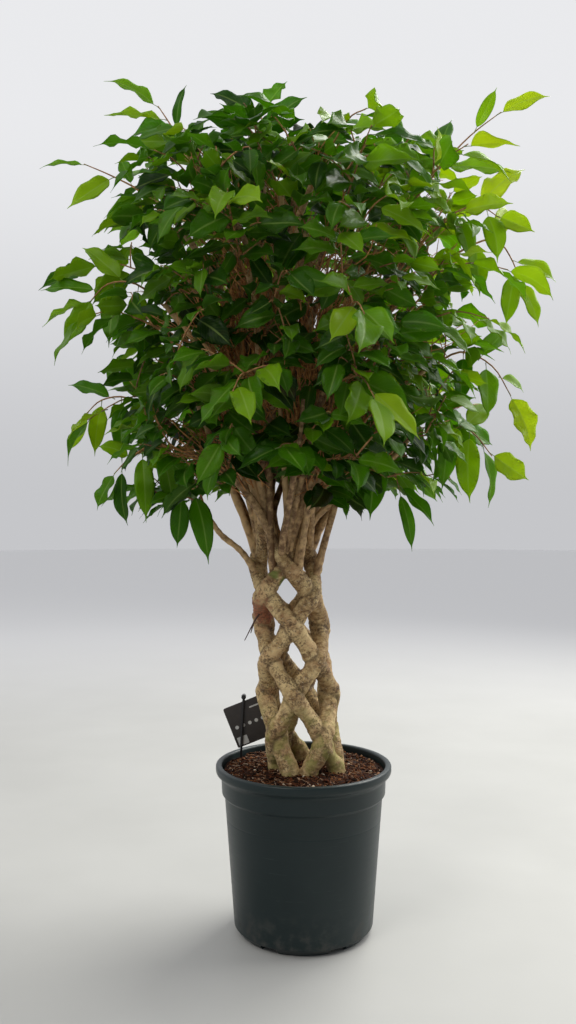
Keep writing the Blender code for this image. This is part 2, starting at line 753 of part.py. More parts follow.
def ring_leaf(rng, twig, share, way, spread, loose):
    """A leaf on one side of a twig, which hangs the more the lower it grows."""
    base, ahead = along(twig, min(share + rng.uniform(-LEAF_SLACK, LEAF_SLACK), TWIG_END))
    outward = Vector((base.x - CROWN_CENTRE_X, base.y, 0.0)).normalized()
    side = ahead.cross(Vector((0, 0, 1))).normalized() * way
    fall = widened(LEAF_FALLS, (base.z - CROWN_LOW) / (CROWN_HIGH - CROWN_LOW))
    fall += rng.uniform(-FALL_SLACK, FALL_SLACK)
    aim = ahead * LEAF_AHEAD + side * spread + outward * LEAF_OUTWARD + Vector((0, 0, -fall))
    aim = (aim + jitter(rng, widened(AIM_SLACK, loose))).normalized()
    length = rng.uniform(*LEAF_LENGTHS)
    width = length * rng.uniform(*LEAF_WIDTH_SHARES)
    normal = outward * RING_FACE[0] + Vector((0, 0, RING_FACE[1]))
    normal += jitter(rng, widened(FACE_SLACK, loose))
    return leaf_towards(rng, base, base + aim * length, width, normal)


def grow_ring_spray(rng, crowd, name, start, heading, end):
    """A spray with leaves by turns on both sides of an arching twig."""
    twig, shape = ring_twig(rng, crowd, start, heading, end)
    leaves = []
    for number in range(LEAVES_PER_SPRAY):
        rank = number / (LEAVES_PER_SPRAY - 1)
        share = FIRST_LEAF_AT + (1 - FIRST_LEAF_AT) * rank
        way = 1 if number % 2 else -1
        spread = END_LEAF_SPREAD if rank == 1 else 1.0

        def draw(loose, share=share, way=way, spread=spread):
            return ring_leaf(rng, twig, share, way, spread, loose)

        leaves.append(try_leaf(crowd, draw))
    crowd.append(shape)
    return Spray(name, twig, [leaf for leaf in leaves if leaf])


def grow_crown(stems):
    """All branches and sprays, none of which touches another but at its own joint."""
    sketched = shoot_starts()
    aims = ring_aims()
    branches = branch_paths(stems, sketched + [(start, heading) for start, heading, _ in aims])
    crowd = [limb_shell(limb.points, limb.radii) for limb in stems + branches]
    rng = random.Random(SEED + 2)
    sprays = []
    for shoot, (start, heading) in zip(SHOOTS, sketched):
        sprays.append(grow_shoot(rng, crowd, shoot, start, heading))
    for number, aim in enumerate(aims):
        sprays.append(grow_ring_spray(rng, crowd, f"ring_{number:02d}", *aim))
    return branches, sprays


def leaf_solid(name, leaf):
    """A thin folded blade, solidified from a root face and a fan of faces round the rib."""
    sheet = bmesh.new()
    root, *corners, rib = [sheet.verts.new(point) for point in leaf_outline(leaf)]
    sheet.faces.new((root, corners[0], corners[-1]))
    for index, corner in enumerate(corners):
        sheet.faces.new((rib, corner, corners[(index + 1) % len(corners)]))
    mesh = bpy.data.meshes.new(name)
    sheet.to_mesh(mesh)
    sheet.free()
    blade = bpy.data.objects.new(name, mesh)
    bpy.context.scene.collection.objects.link(blade)
    thicken = blade.modifiers.new("thicken", "SOLIDIFY")
    thicken.thickness = LEAF_THICKNESS
    return blade


def make_spray(number, spray, look, collection):
    twig = tube(f"spray_{number:02d}", spray.twig, tapered(TWIG_RADII, len(spray.twig)), TWIG_SIDES)
    fuse(twig, [leaf_solid(f"{twig.name}_leaf_{i}", leaf) for i, leaf in enumerate(spray.leaves)])
    keep_largest_shell(twig)
    return place(twig, collection, look)


def make_trunk(stems, branches, look, collection):
    body = tube("trunk", stems[0].points, stems[0].radii, STEM_SIDES)
    pieces = [tube(stem.name, stem.points, stem.radii, STEM_SIDES) for stem in stems[1:]]
    pieces += [tube(branch.name, branch.points, branch.radii, BRANCH_SIDES) for branch in branches]
    fuse(body, pieces)
    keep_largest_shell(body)
    return place(body, collection, look)


# Label


def make_label(look, collection):
    bpy.ops.mesh.primitive_cube_add(size=1.0, location=CARD_CENTRE)
    card = bpy.context.object
    card.name = "plant_label"
    card.scale = (CARD_SIZE, CARD_THICKNESS, CARD_SIZE)
    bpy.ops.object.transform_apply(location=False, rotation=False, scale=True)
    card.rotation_euler = (0.0, -math.radians(CARD_ROLL), 0.0)
    return place(card, collection, look)


def make_stake(look, collection):
    foot = Vector((STAKE_FOOT[0], STAKE_Y, STAKE_FOOT[1]))
    bend = Vector((STAKE_FOOT[0], STAKE_Y, STAKE_BEND_HEIGHT))
    head = Vector((STAKE_HEAD[0], STAKE_Y, STAKE_HEAD[1]))
    stake = tube("label_stake", [foot, bend, head], [STAKE_RADIUS] * 3, STAKE_SIDES)
    back = head + Vector((0, HOOK_REACH, 0))
    front = head - Vector((0, STAKE_HEAD_RADIUS, 0))
    knob = tube("stake_knob", [front, back], [STAKE_HEAD_RADIUS] * 2, STAKE_SIDES)
    tab_top = back - Vector((0, STAKE_RADIUS, 0))
    tab = tube("stake_tab", [tab_top, tab_top + TAB_DROP], [TAB_RADIUS] * 2, STAKE_SIDES)
    fuse(stake, [knob, tab])
    return place(stake, collection, look)


def main():
    clear_scene()
    plant = new_collection("potted_weeping_fig")
    looks = {name: material(name) for name in LOOKS}
    stems = stem_paths()
    branches, sprays = grow_crown(stems)
    make_trunk(stems, branches, looks["bark"], plant)
    for number, spray in enumerate(sprays):
        make_spray(number, spray, looks["leaf"], plant)
    make_pot(looks["pot_plastic"], plant)
    make_soil(looks["soil_mix"], plant, stems)
    make_label(looks["label_card"], plant)
    make_stake(looks["stake_plastic"], plant)


main()
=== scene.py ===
"""Looks of a potted weeping fig: a mop of glossy leaves on woven stems, in a nursery pot.

Metres, +Z up. The plan of the stems, branches, twigs and large leaves repeats that of the solids. Finer
leaves, bark, soil and plastic then take their places, and more twigs and leaves fill the crown.
"""

import json
import math
import random
from collections import defaultdict, namedtuple

import bmesh
import bpy
import numpy as np
from mathutils import Matrix, Vector, noise
from mathutils.bvhtree import BVHTree

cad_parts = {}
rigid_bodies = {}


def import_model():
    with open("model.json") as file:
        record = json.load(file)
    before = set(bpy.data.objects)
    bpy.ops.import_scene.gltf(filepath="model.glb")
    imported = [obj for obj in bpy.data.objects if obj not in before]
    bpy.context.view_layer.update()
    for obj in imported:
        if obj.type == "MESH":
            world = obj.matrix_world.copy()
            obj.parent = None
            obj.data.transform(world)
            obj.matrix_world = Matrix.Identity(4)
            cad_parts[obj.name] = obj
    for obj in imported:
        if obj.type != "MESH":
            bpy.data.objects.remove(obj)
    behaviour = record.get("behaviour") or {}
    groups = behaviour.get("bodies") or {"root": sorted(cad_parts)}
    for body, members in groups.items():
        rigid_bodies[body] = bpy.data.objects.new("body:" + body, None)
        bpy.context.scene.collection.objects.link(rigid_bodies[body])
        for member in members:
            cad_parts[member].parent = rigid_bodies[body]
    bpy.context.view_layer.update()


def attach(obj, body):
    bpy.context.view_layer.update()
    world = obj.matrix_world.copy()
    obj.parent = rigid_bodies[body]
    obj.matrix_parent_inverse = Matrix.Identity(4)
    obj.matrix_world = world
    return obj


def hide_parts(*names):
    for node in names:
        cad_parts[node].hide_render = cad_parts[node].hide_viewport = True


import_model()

# Plan of the plant, as the solids have it

GAP = 0.0003
SEED = 7

# Pot
POT_HEIGHT = 0.241
WALL = 0.0022
LIP_RADIUS = 0.1285
LIP_INNER_RADIUS = 0.1195
LIP_BAND = 0.011
LIP_DROP = 0.018
COLLAR_RADIUS = 0.1205
COLLAR_TAPER = 0.001
COLLAR_FOOT = 0.196
STEP_HEIGHT = 0.004
BODY_TOP_RADIUS = 0.1155
BODY_FOOT_RADIUS = 0.1015
LEDGE_HEIGHT = 0.010
FOOT_RADIUS = 0.0925
FOOT_WIDTH = 0.006
FLOOR_RADIUS = 0.091
FLOOR_BEND = 0.017
FOOT_RECESS = 0.0075
HUB_RADIUS = 0.034
BASE_THICKNESS = 0.0105
NOTCHES = 6
NOTCH_AZIMUTH = 29
NOTCH_SIZE = (0.026, 0.030, 0.0160)

# Soil
SOIL_EDGE_HEIGHT = 0.231
SOIL_CROWN = 0.0045
SOIL_RADIUS = COLLAR_RADIUS - WALL - 2 * GAP
HOLE_FLOOR = 0.170

# Woven stems: heights at which they cross, with the weave's turn and radius there
KNOT_HEIGHTS = (0.236, 0.286, 0.346, 0.397, 0.4455, 0.491, 0.538, 0.590)
KNOT_TURNS = (-12, -9, -6, -7, 2, 2, 0, 0)
KNOT_RADII = (0.046, 0.047, 0.045, 0.045, 0.041, 0.046, 0.039, 0.034)
KNOT_SLACK = 0.0015
TURN_SLACK = 2
STEMS_EACH_WAY = 4
STEP_TURN = 45
FEET_SPREAD = 19
TOP_TURN = 8
WEAVE = 0.0035
STEM_FOOT_RADIUS = 0.0124
STEM_TOP_RADIUS = 0.0108
STEM_GIRTHS = (0.94, 1.10)
SPAN_GIRTH = 0.94
STEM_TOP = 0.625
CURVED_LEVELS = 6
AXIS_FOOT_X = 0.0045
AXIS_LEAN = -0.105

# Branches
BRANCH_RADII = (0.0068, 0.0034)
BRANCH_POINTS = 5
BRANCH_FROM = 0.84
BRANCH_STEP = 0.024
BRANCH_LIFT = 1.2
BRANCH_SPLAY = 0.7
BRANCH_PULLS = (0.4, 0.3)
LOW_TIP = 0.65
SPOT_STEPS = 60
LOW_BASE = Vector((-0.070, -0.016, 0.518))
LOW_BRANCH_RADII = (0.0050, 0.0034)

# Leafy sprays
TWIG_RADII = (0.0026, 0.0017)
TWIG_POINTS = 4
TWIG_SKIP = 0.005
TWIG_PULL = 0.35
TWIG_DROOP = 0.25
TWIG_END = 0.96
STRAIGHT = 0.012
ROOT_SINK = 0.0008
LEAVES_PER_SPRAY = 6
FIRST_LEAF_AT = 0.22
LEAF_SLACK = 0.04
LEAF_THICKNESS = 0.0007
LEAF_LENGTHS = (0.072, 0.092)
LEAF_WIDTH_SHARES = (0.36, 0.44)
LEAF_BENDS = (0.03, 0.08)
LEAF_FOLDS = (0.12, 0.34)
WIDEST_AT = 0.37
SHOULDER_AT, SHOULDER_SHARE = 0.76, 0.50
RIB_AT = 0.52

# How a leaf points: along its twig, outward, down at the crown's foot and top, and how loosely. How it
# faces outward and up
LEAF_AHEAD = 0.7
LEAF_OUTWARD = 0.45
LEAF_FALLS = (1.30, 0.55)
FALL_SLACK = 0.25
END_LEAF_SPREAD = 0.15
AIM_SLACK = (0.3, 1.5)
RING_FACE = (0.95, 0.60)
FACE_SLACK = (0.45, 1.45)
SHOOT_FACE = Vector((0.0, -0.8, 0.6))
SHOOT_FACE_SLACK = (0.35, 1.35)
SHOOT_AIM_SLACK = 0.035

# Room round each leaf and twig, and how often a crowded one is drawn again
CLEARANCE = 0.0014
SHELL_SPARE = 1.3
TWIG_TRIES = 80
TWIG_SLACK = (0.02, 0.12)
LEAF_TRIES = 40

# Rings of sprays: height and radius of the twigs' ends, number, first azimuth, rise from the branch
CROWN_CENTRE_X = -0.012
CROWN_LOW, CROWN_HIGH, CROWN_TOP = 0.60, 1.20, 1.243
RINGS = (
    (1.190, 0.065, 2, 20, 0.120),
    (1.160, 0.190, 5, 34, 0.100),
    (1.080, 0.270, 6, 12, 0.075),
    (0.965, 0.300, 6, 30, 0.040),
    (0.850, 0.295, 6, 0, 0.005),
    (0.725, 0.265, 6, 30, -0.055),
)
RING_SLACK = 0.26
END_REACH = (0.90, 1.08)
END_SLACK = 0.042
START_REACH = (0.42, 0.52)
START_TURN = 6
START_RISE = (0.8, 1.1)
HEADING_LIFT, HEADING_RISE = 0.25, 3.0

# Label
CARD_SIZE = 0.064
CARD_THICKNESS = 0.0009
CARD_CENTRE = (-0.081, 0.056, 0.289)
CARD_ROLL = 21.7
STAKE_RADIUS = 0.0019
STAKE_HEAD_RADIUS = 0.0036
STAKE_Y = CARD_CENTRE[1] - CARD_THICKNESS / 2 - STAKE_RADIUS - GAP
STAKE_FOOT = (-0.0945, 0.170)
STAKE_BEND_HEIGHT = 0.238
STAKE_HEAD = (-0.0905, 0.3265)
HOOK_REACH = 0.0070
TAB_RADIUS = 0.0015
TAB_DROP = Vector((0.001, 0.0, -0.012))

# The reference view, in which the shoots that shape the outline are sketched
EYE = Vector((-0.0228, -1.362, 0.609))
FOCAL = 926
MIDDLE = (288, 512)

Limb = namedtuple("Limb", "name points radii")
Leaf = namedtuple("Leaf", "base tip normal width bend fold")
Spray = namedtuple("Spray", "name twig leaves")
Shoot = namedtuple("Shoot", "name depth twig leaves")

# Shoots of the outline: twig points as seen, then leaves as (share of twig, tip as seen, nearness, width)
SHOOTS = (
    Shoot("upper_right", 0.02, ((404, 214), (439, 169), (470, 136), (501, 112)), (
        (1.00, (550, 96), 0.00, 0.026), (0.76, (497, 87), -0.01, 0.019), (0.60, (410, 141), -0.03, 0.030),
        (0.42, (511, 172), -0.04, 0.033), (0.25, (396, 170), -0.02, 0.030), (0.38, (452, 118), 0.05, 0.028))),
    Shoot("right", -0.03, ((418, 246), (450, 216), (478, 206), (500, 218)), (
        (1.00, (535, 232), -0.02, 0.032), (0.72, (526, 166), 0.02, 0.036), (0.55, (513, 203), -0.05, 0.034),
        (0.40, (432, 186), 0.03, 0.032), (0.85, (497, 262), -0.03, 0.031), (0.50, (470, 262), -0.04, 0.030))),
    Shoot("right_hanging", 0.03, ((432, 272), (468, 247), (496, 240), (513, 262), (519, 284)), (
        (1.00, (539, 327), 0.00, 0.026), (0.88, (506, 327), -0.02, 0.029), (0.80, (557, 281), 0.01, 0.031),
        (0.42, (480, 296), -0.04, 0.030), (0.60, (505, 206), 0.05, 0.026))),
    Shoot("right_low", 0.00, ((424, 372), (460, 352), (492, 366), (511, 396)), (
        (1.00, (531, 451), 0.00, 0.036), (0.80, (524, 392), 0.03, 0.022), (0.62, (488, 418), -0.03, 0.032),
        (0.40, (462, 405), -0.04, 0.030), (0.55, (506, 330), 0.03, 0.028))),
    Shoot("right_skirt", -0.04, ((408, 424), (440, 414), (472, 432), (492, 456)), (
        (1.00, (529, 480), 0.00, 0.034), (0.85, (489, 508), 0.03, 0.028), (0.66, (470, 503), -0.02, 0.034),
        (0.42, (442, 492), 0.02, 0.028), (0.60, (488, 404), 0.04, 0.030), (0.25, (432, 452), -0.05, 0.028))),
    Shoot("drooping", -0.07, ((338, 462), (368, 444), (390, 460), (400, 492)), (
        (1.00, (412, 552), 0.00, 0.018), (0.92, (428, 530), -0.01, 0.021), (0.72, (417, 500), 0.02, 0.017),
        (0.50, (370, 520), -0.03, 0.036), (0.30, (346, 508), 0.03, 0.028))),
    Shoot("upper_left", 0.00, ((168, 214), (142, 192), (112, 176), (84, 164)), (
        (1.00, (39, 167), 0.00, 0.012), (0.66, (67, 208), -0.03, 0.030), (0.46, (121, 158), 0.02, 0.020),
        (0.30, (104, 232), -0.05, 0.032))),
    Shoot("left", -0.02, ((164, 306), (136, 284), (108, 284), (88, 304)), (
        (1.00, (42, 327), 0.00, 0.029), (0.80, (40, 290), 0.02, 0.029), (0.90, (60, 349), -0.03, 0.031),
        (0.50, (82, 246), 0.03, 0.031), (0.62, (108, 346), -0.04, 0.031), (0.35, (132, 336), 0.04, 0.030))),
    Shoot("left_low", 0.03, ((160, 418), (128, 398), (102, 400), (86, 414)), (
        (1.00, (68, 452), 0.00, 0.018), (0.75, (95, 456), -0.03, 0.026), (0.52, (122, 462), -0.05, 0.030),
        (0.60, (68, 384), 0.02, 0.028), (0.32, (118, 356), 0.04, 0.030))),
    Shoot("left_skirt", -0.05, ((184, 452), (156, 444), (130, 458), (114, 474)), (
        (1.00, (96, 510), 0.00, 0.024), (0.86, (127, 526), 0.02, 0.026), (0.70, (97, 446), -0.01, 0.026),
        (0.55, (146, 522), -0.03, 0.028), (0.30, (172, 505), 0.03, 0.028))),
    Shoot("low_branch", -0.05, ((204, 506), (200, 494), (194, 489), (187, 489), (181, 494)), (
        (1.00, (177, 548), 0.00, 0.027), (0.55, (208, 564), -0.03, 0.032))),
    Shoot("top", -0.02, ((262, 186), (258, 152), (262, 128), (261, 112)), (
        (1.00, (287, 81), 0.00, 0.032), (0.90, (210, 92), 0.02, 0.032), (0.72, (306, 96), -0.03, 0.033),
        (0.62, (228, 133), -0.04, 0.032), (0.40, (300, 140), 0.04, 0.034), (0.30, (222, 166), 0.03, 0.032))),
    Shoot("top_left", -0.03, ((206, 180), (186, 150), (170, 124), (158, 106)), (
        (1.00, (104, 79), 0.00, 0.026), (0.80, (104, 115), -0.02, 0.026), (0.62, (186, 84), 0.00, 0.014),
        (0.50, (126, 142), -0.04, 0.030), (0.35, (212, 116), 0.04, 0.028))),
)

# Side of a cell of the grid that keeps what takes up room
CELL = 0.10


class Crowd:
    """Shapes that take up room, kept by the cell of a grid that their middles lie in."""

    def __init__(self):
        self.wide = []
        self.cells = defaultdict(list)

    def append(self, shape):
        if shape[1] > CELL / 2:
            self.wide.append(shape)
        else:
            self.cells[self.cell(shape[0])].append(shape)

    def cell(self, point):
        return tuple(math.floor(value / CELL) for value in point)

    def near(self, shape):
        yield from self.wide
        if shape[1] > CELL / 2:
            for inside in self.cells.values():
                yield from inside
            return
        x, y, z = self.cell(shape[0])
        for i in (x - 1, x, x + 1):
            for j in (y - 1, y, y + 1):
                for k in (z - 1, z, z + 1):
                    yield from self.cells.get((i, j, k), ())


def around(azimuth, radius, height, centre_x=0.0):
    """A point at an azimuth in degrees from the front, turning towards +X."""
    angle = math.radians(azimuth)
    return Vector((centre_x + radius * math.sin(angle), -radius * math.cos(angle), height))


def as_seen(pixel, depth):
    """The point at a depth along +Y that the reference view shows at a pixel."""
    distance = depth - EYE.y
    across = (pixel[0] - MIDDLE[0]) / FOCAL * distance
    down = (pixel[1] - MIDDLE[1]) / FOCAL * distance
    return Vector((EYE.x + across, depth, EYE.z - down))


def bezier(first, second, third, fourth, count):
    """Evenly numbered points along a cubic curve."""
    points = []
    for index in range(count):
        t = index / (count - 1)
        s = 1 - t
        points.append(first * s**3 + second * 3 * s * s * t + third * 3 * s * t * t + fourth * t**3)
    return points


def along(points, share):
    """The point and the direction at a share of a polyline's length."""
    lengths = [(b - a).length for a, b in zip(points, points[1:])]
    left = share * sum(lengths)
    for a, b, length in zip(points, points[1:], lengths):
        if left <= length or b is points[-1]:
            return a.lerp(b, min(left / length, 1.0)), (b - a).normalized()
        left -= length
    return points[-1].copy(), (points[-1] - points[-2]).normalized()


def tapered(radii, count):
    """Radii that change evenly from the first to the last."""
    return [radii[0] + (radii[1] - radii[0]) * index / (count - 1) for index in range(count)]


def stem_radius(height):
    share = (height - KNOT_HEIGHTS[0]) / (STEM_TOP - KNOT_HEIGHTS[0])
    return STEM_FOOT_RADIUS + (STEM_TOP_RADIUS - STEM_FOOT_RADIUS) * share


def stem_path(rng, name, way, start):
    """The centre-line of one woven stem, which turns one way and passes over and under the others."""
    girth = rng.uniform(*STEM_GIRTHS)
    knots = []
    for level, height in enumerate(KNOT_HEIGHTS):
        turn = start + way * STEP_TURN * level + KNOT_TURNS[level] + rng.uniform(-TURN_SLACK, TURN_SLACK)
        if level == 0:
            turn += way * FEET_SPREAD
        lift = WEAVE * (way if level % 2 else -way)
        radius = KNOT_RADII[level] + lift + rng.uniform(-KNOT_SLACK, KNOT_SLACK)
        knots.append((turn, radius, height, AXIS_FOOT_X + AXIS_LEAN * (height - KNOT_HEIGHTS[0])))
    foot = around(*knots[0])
    points = [Vector((foot.x, foot.y, HOLE_FLOOR + GAP))]
    radii = [STEM_FOOT_RADIUS]
    for level, knot in enumerate(knots):
        points.append(around(*knot))
        radii.append(stem_radius(knot[2]) * girth if level else STEM_FOOT_RADIUS)
        if level < CURVED_LEVELS:
            halfway = [(a + b) / 2 for a, b in zip(knot, knots[level + 1])]
            points.append(around(*halfway))
            radii.append(stem_radius(halfway[2]) * girth * SPAN_GIRTH)
    turn, radius, _, centre_x = knots[-1]
    points.append(around(turn + way * TOP_TURN, radius, STEM_TOP, centre_x))
    radii.append(STEM_TOP_RADIUS)
    return Limb(name, points, radii)


def stem_paths():
    """Centre-lines of the woven stems, half of them turning each way."""
    rng = random.Random(SEED)
    stems = []
    for way in (1, -1):
        for index in range(STEMS_EACH_WAY):
            stems.append(stem_path(rng, f"stem_{len(stems)}", way, 360 * index / STEMS_EACH_WAY))
    return stems


def shoot_starts():
    """Start of each sketched shoot's twig, and its heading there."""
    starts = []
    for shoot in SHOOTS:
        first, second = [as_seen(pixel, shoot.depth) for pixel in shoot.twig[:2]]
        starts.append((first, (second - first).normalized()))
    return starts


def ring_aims():
    """Start, heading there and end of each twig of the rings."""
    rng = random.Random(SEED + 1)
    aims = []
    for height, radius, count, first, rise in RINGS:
        for index in range(count):
            azimuth = first + 360 * (index + rng.uniform(-RING_SLACK, RING_SLACK)) / count
            end = around(azimuth, radius * rng.uniform(*END_REACH),
                         height + rng.uniform(-END_SLACK, END_SLACK), CROWN_CENTRE_X)
            start = around(azimuth + rng.uniform(-START_TURN, START_TURN), radius * rng.uniform(*START_REACH),
                           height - rise * rng.uniform(*START_RISE), CROWN_CENTRE_X)
            heading = around(azimuth, 1.0, HEADING_LIFT + HEADING_RISE * rise).normalized()
            aims.append((start, heading, end))
    return aims


def azimuth_of(point):
    return math.atan2(point.x - CROWN_CENTRE_X, -point.y)


def outward_of(point):
    return Vector((point.x - CROWN_CENTRE_X, point.y, 0.0)).normalized()


def branch_path(name, stem, share, tip, heading, radii=BRANCH_RADII):
    """A branch from a share of a stem's length to a tip, where it heads straight into its twig."""
    base, away = along(stem.points, share)
    away = (away + Vector((0, 0, BRANCH_LIFT)) + outward_of(base) * BRANCH_SPLAY).normalized()
    neck = tip - heading * STRAIGHT
    reach = (tip - base).length
    first_pull, last_pull = [reach * pull for pull in BRANCH_PULLS]
    points = bezier(base, base + away * first_pull, neck - heading * last_pull, neck, BRANCH_POINTS - 1)
    return Limb(name, points + [tip], tapered(radii, BRANCH_POINTS))


def branch_paths(stems, targets):
    """One branch to each target, from the stem whose top faces it. A low one starts lower down."""
    low = [index for index, (tip, _) in enumerate(targets) if tip.z < LOW_TIP]
    order = [index for index in range(len(targets)) if index not in low]
    order.sort(key=lambda index: azimuth_of(targets[index][0]))
    tops = sorted(stems, key=lambda stem: azimuth_of(stem.points[-2]))
    per_stem = len(order) / len(tops)
    branches = []
    for number, stem in enumerate(tops):
        mine = order[round(number * per_stem):round((number + 1) * per_stem)]
        mine.sort(key=lambda index: targets[index][0].z)
        for rank, index in enumerate(mine):
            share = BRANCH_FROM + BRANCH_STEP * rank
            branches.append(branch_path(f"branch_{index:02d}", stem, share, *targets[index]))
    for index in low:
        stem, share = nearest_spot(stems, LOW_BASE)
        branches.append(branch_path(f"branch_{index:02d}", stem, share, *targets[index], LOW_BRANCH_RADII))
    return branches


def nearest_spot(stems, point):
    """The stem that passes closest to a point, and the share of its length there."""
    spots = [(stem, step / SPOT_STEPS) for stem in stems for step in range(SPOT_STEPS)]
    return min(spots, key=lambda spot: (along(spot[0].points, spot[1])[0] - point).length)


def leaf_point(leaf, t, across):
    """A point of a leaf's sheet: t from root to tip, and metres across from the midrib."""
    chord = leaf.tip - leaf.base
    side = chord.cross(leaf.normal).normalized()
    up = side.cross(chord).normalized()
    arch = leaf.bend * chord.length * 4 * t * (1 - t)
    return leaf.base + chord * t + side * across + up * (arch + leaf.fold * abs(across))


def leaf_outline(leaf, margin=0.0):
    """Points round a leaf, with the rib's point last."""
    wide = leaf.width / 2 + margin
    shoulder = leaf.width / 2 * SHOULDER_SHARE + margin
    spots = [(0.0, 0.0), (WIDEST_AT, -wide), (SHOULDER_AT, -shoulder), (1.0, 0.0),
             (SHOULDER_AT, shoulder), (WIDEST_AT, wide), (RIB_AT, 0.0)]
    return [leaf_point(leaf, t, across) for t, across in spots]


def leaf_shell(leaf):
    """Two sheets just outside a leaf's faces, to test what it would touch."""
    points = leaf_outline(leaf, CLEARANCE)
    chord = leaf.tip - leaf.base
    up = chord.cross(leaf.normal).cross(chord).normalized()
    rib = len(points) - 1
    verts, faces = [], []
    for lift in (CLEARANCE, -CLEARANCE - LEAF_THICKNESS):
        first = len(verts)
        verts += [point + up * lift for point in points]
        faces += [(first + rib, first + i, first + (i + 1) % rib) for i in range(rib)]
    return shell(verts, faces)


def limb_shell(points, radii, skip=0.0):
    """A three-sided tube round a limb, to test what touches it."""
    if skip:
        start = points[0] + (points[1] - points[0]).normalized() * skip
        points = [start] + points[1:]
    verts, faces = [], []
    for index, (point, radius) in enumerate(zip(points, radii)):
        near = points[min(index + 1, len(points) - 1)] - points[max(index - 1, 0)]
        side = near.cross(Vector((0.3, 0.5, 0.8))).normalized()
        other = near.cross(side).normalized()
        for corner in range(3):
            angle = math.tau * corner / 3
            reach = (radius + CLEARANCE) * SHELL_SPARE
            verts.append(point + (side * math.cos(angle) + other * math.sin(angle)) * reach)
        if index:
            low, high = 3 * index - 3, 3 * index
            for corner in range(3):
                after = (corner + 1) % 3
                faces.append((low + corner, low + after, high + after, high + corner))
    return shell(verts, faces)


def shell(verts, faces):
    middle = sum(verts, Vector()) / len(verts)
    reach = max((vert - middle).length for vert in verts)
    return middle, reach, BVHTree.FromPolygons(verts, faces)


def is_clear(shape, crowd):
    middle, reach, tree = shape
    for other_middle, other_reach, other_tree in crowd.near(shape):
        if (middle - other_middle).length < reach + other_reach and tree.overlap(other_tree):
            return False
    return True


def leaf_towards(rng, base, tip, width, normal):
    root = base - (tip - base).normalized() * ROOT_SINK
    return Leaf(root, tip, normal, width, rng.uniform(*LEAF_BENDS), rng.uniform(*LEAF_FOLDS))


def try_leaf(crowd, draw):
    """The first of several drawn leaves that touches nothing, or None. Each is drawn more loosely."""
    for attempt in range(LEAF_TRIES):
        leaf = draw(attempt / LEAF_TRIES)
        shape = leaf_shell(leaf)
        if leaf.tip.z < CROWN_TOP and is_clear(shape, crowd):
            crowd.append(shape)
            return leaf
    return None


def jitter(rng, amount):
    return Vector([rng.uniform(-amount, amount) for _ in range(3)])


def widened(slack, loose):
    """A slack that grows from its first to its second value."""
    return slack[0] + (slack[1] - slack[0]) * loose


def grow_shoot(rng, crowd, shoot, start, heading):
    """A spray that is sketched in the reference view."""
    twig = [as_seen(pixel, shoot.depth) for pixel in shoot.twig]
    twig[0] = start + heading * GAP
    leaves = []
    for share, pixel, nearness, width in shoot.leaves:
        base = along(twig, min(share, TWIG_END))[0]
        tip = as_seen(pixel, shoot.depth + nearness)

        def draw(loose, base=base, tip=tip, width=width):
            normal = SHOOT_FACE + jitter(rng, widened(SHOOT_FACE_SLACK, loose))
            return leaf_towards(rng, base, tip + jitter(rng, SHOOT_AIM_SLACK * loose), width, normal)

        leaves.append(try_leaf(crowd, draw))
    crowd.append(limb_shell(twig, tapered(TWIG_RADII, len(twig)), TWIG_SKIP))
    return Spray(shoot.name, twig, [leaf for leaf in leaves if leaf])


def ring_twig(rng, crowd, start, heading, end):
    """An arching twig towards end that touches nothing, if one is found, and its shape."""
    first = start + heading * GAP
    neck = first + heading * STRAIGHT
    reach = (end - start).length
    for attempt in range(TWIG_TRIES):
        aim = end + jitter(rng, widened(TWIG_SLACK, attempt / TWIG_TRIES))
        over = aim + Vector((0, 0, reach * TWIG_DROOP))
        twig = [first] + bezier(neck, neck + heading * reach * TWIG_PULL, over, aim, TWIG_POINTS - 1)
        shape = limb_shell(twig, tapered(TWIG_RADII, TWIG_POINTS), TWIG_SKIP)
        if is_clear(shape, crowd):
            break
    return twig, shape


def ring_leaf(rng, twig, share, way, spread, loose):
    """A leaf on one side of a twig, which hangs the more the lower it grows."""
    base, ahead = along(twig, min(share + rng.uniform(-LEAF_SLACK, LEAF_SLACK), TWIG_END))
    outward = outward_of(base)
    side = ahead.cross(Vector((0, 0, 1))).normalized() * way
    fall = widened(LEAF_FALLS, (base.z - CROWN_LOW) / (CROWN_HIGH - CROWN_LOW))
    fall += rng.uniform(-FALL_SLACK, FALL_SLACK)
    aim = ahead * LEAF_AHEAD + side * spread + outward * LEAF_OUTWARD + Vector((0, 0, -fall))
    aim = (aim + jitter(rng, widened(AIM_SLACK, loose))).normalized()
    length = rng.uniform(*LEAF_LENGTHS)
    width = length * rng.uniform(*LEAF_WIDTH_SHARES)
    normal = outward * RING_FACE[0] + Vector((0, 0, RING_FACE[1]))
    normal += jitter(rng, widened(FACE_SLACK, loose))
    return leaf_towards(rng, base, base + aim * length, width, normal)


def grow_leaves(rng, crowd, twig, count, first_at, scales=None):
    """Leaves by turns on both sides of a twig, none of which touches anything."""
    leaves = []
    for number in range(count):
        rank = number / (count - 1)
        share = first_at + (1 - first_at) * rank
        way = 1 if number % 2 else -1
        spread = END_LEAF_SPREAD if rank == 1 else 1.0
        scale = rng.uniform(*scales) if scales else None

        def draw(loose, share=share, way=way, spread=spread, scale=scale):
            leaf = ring_leaf(rng, twig, share, way, spread, loose)
            return resized(leaf, scale) if scale else leaf

        leaves.append(try_leaf(crowd, draw))
    return [leaf for leaf in leaves if leaf]


def resized(leaf, scale):
    tip = leaf.base + (leaf.tip - leaf.base) * scale
    return leaf._replace(tip=tip, width=leaf.width * scale * FILL_WIDER)


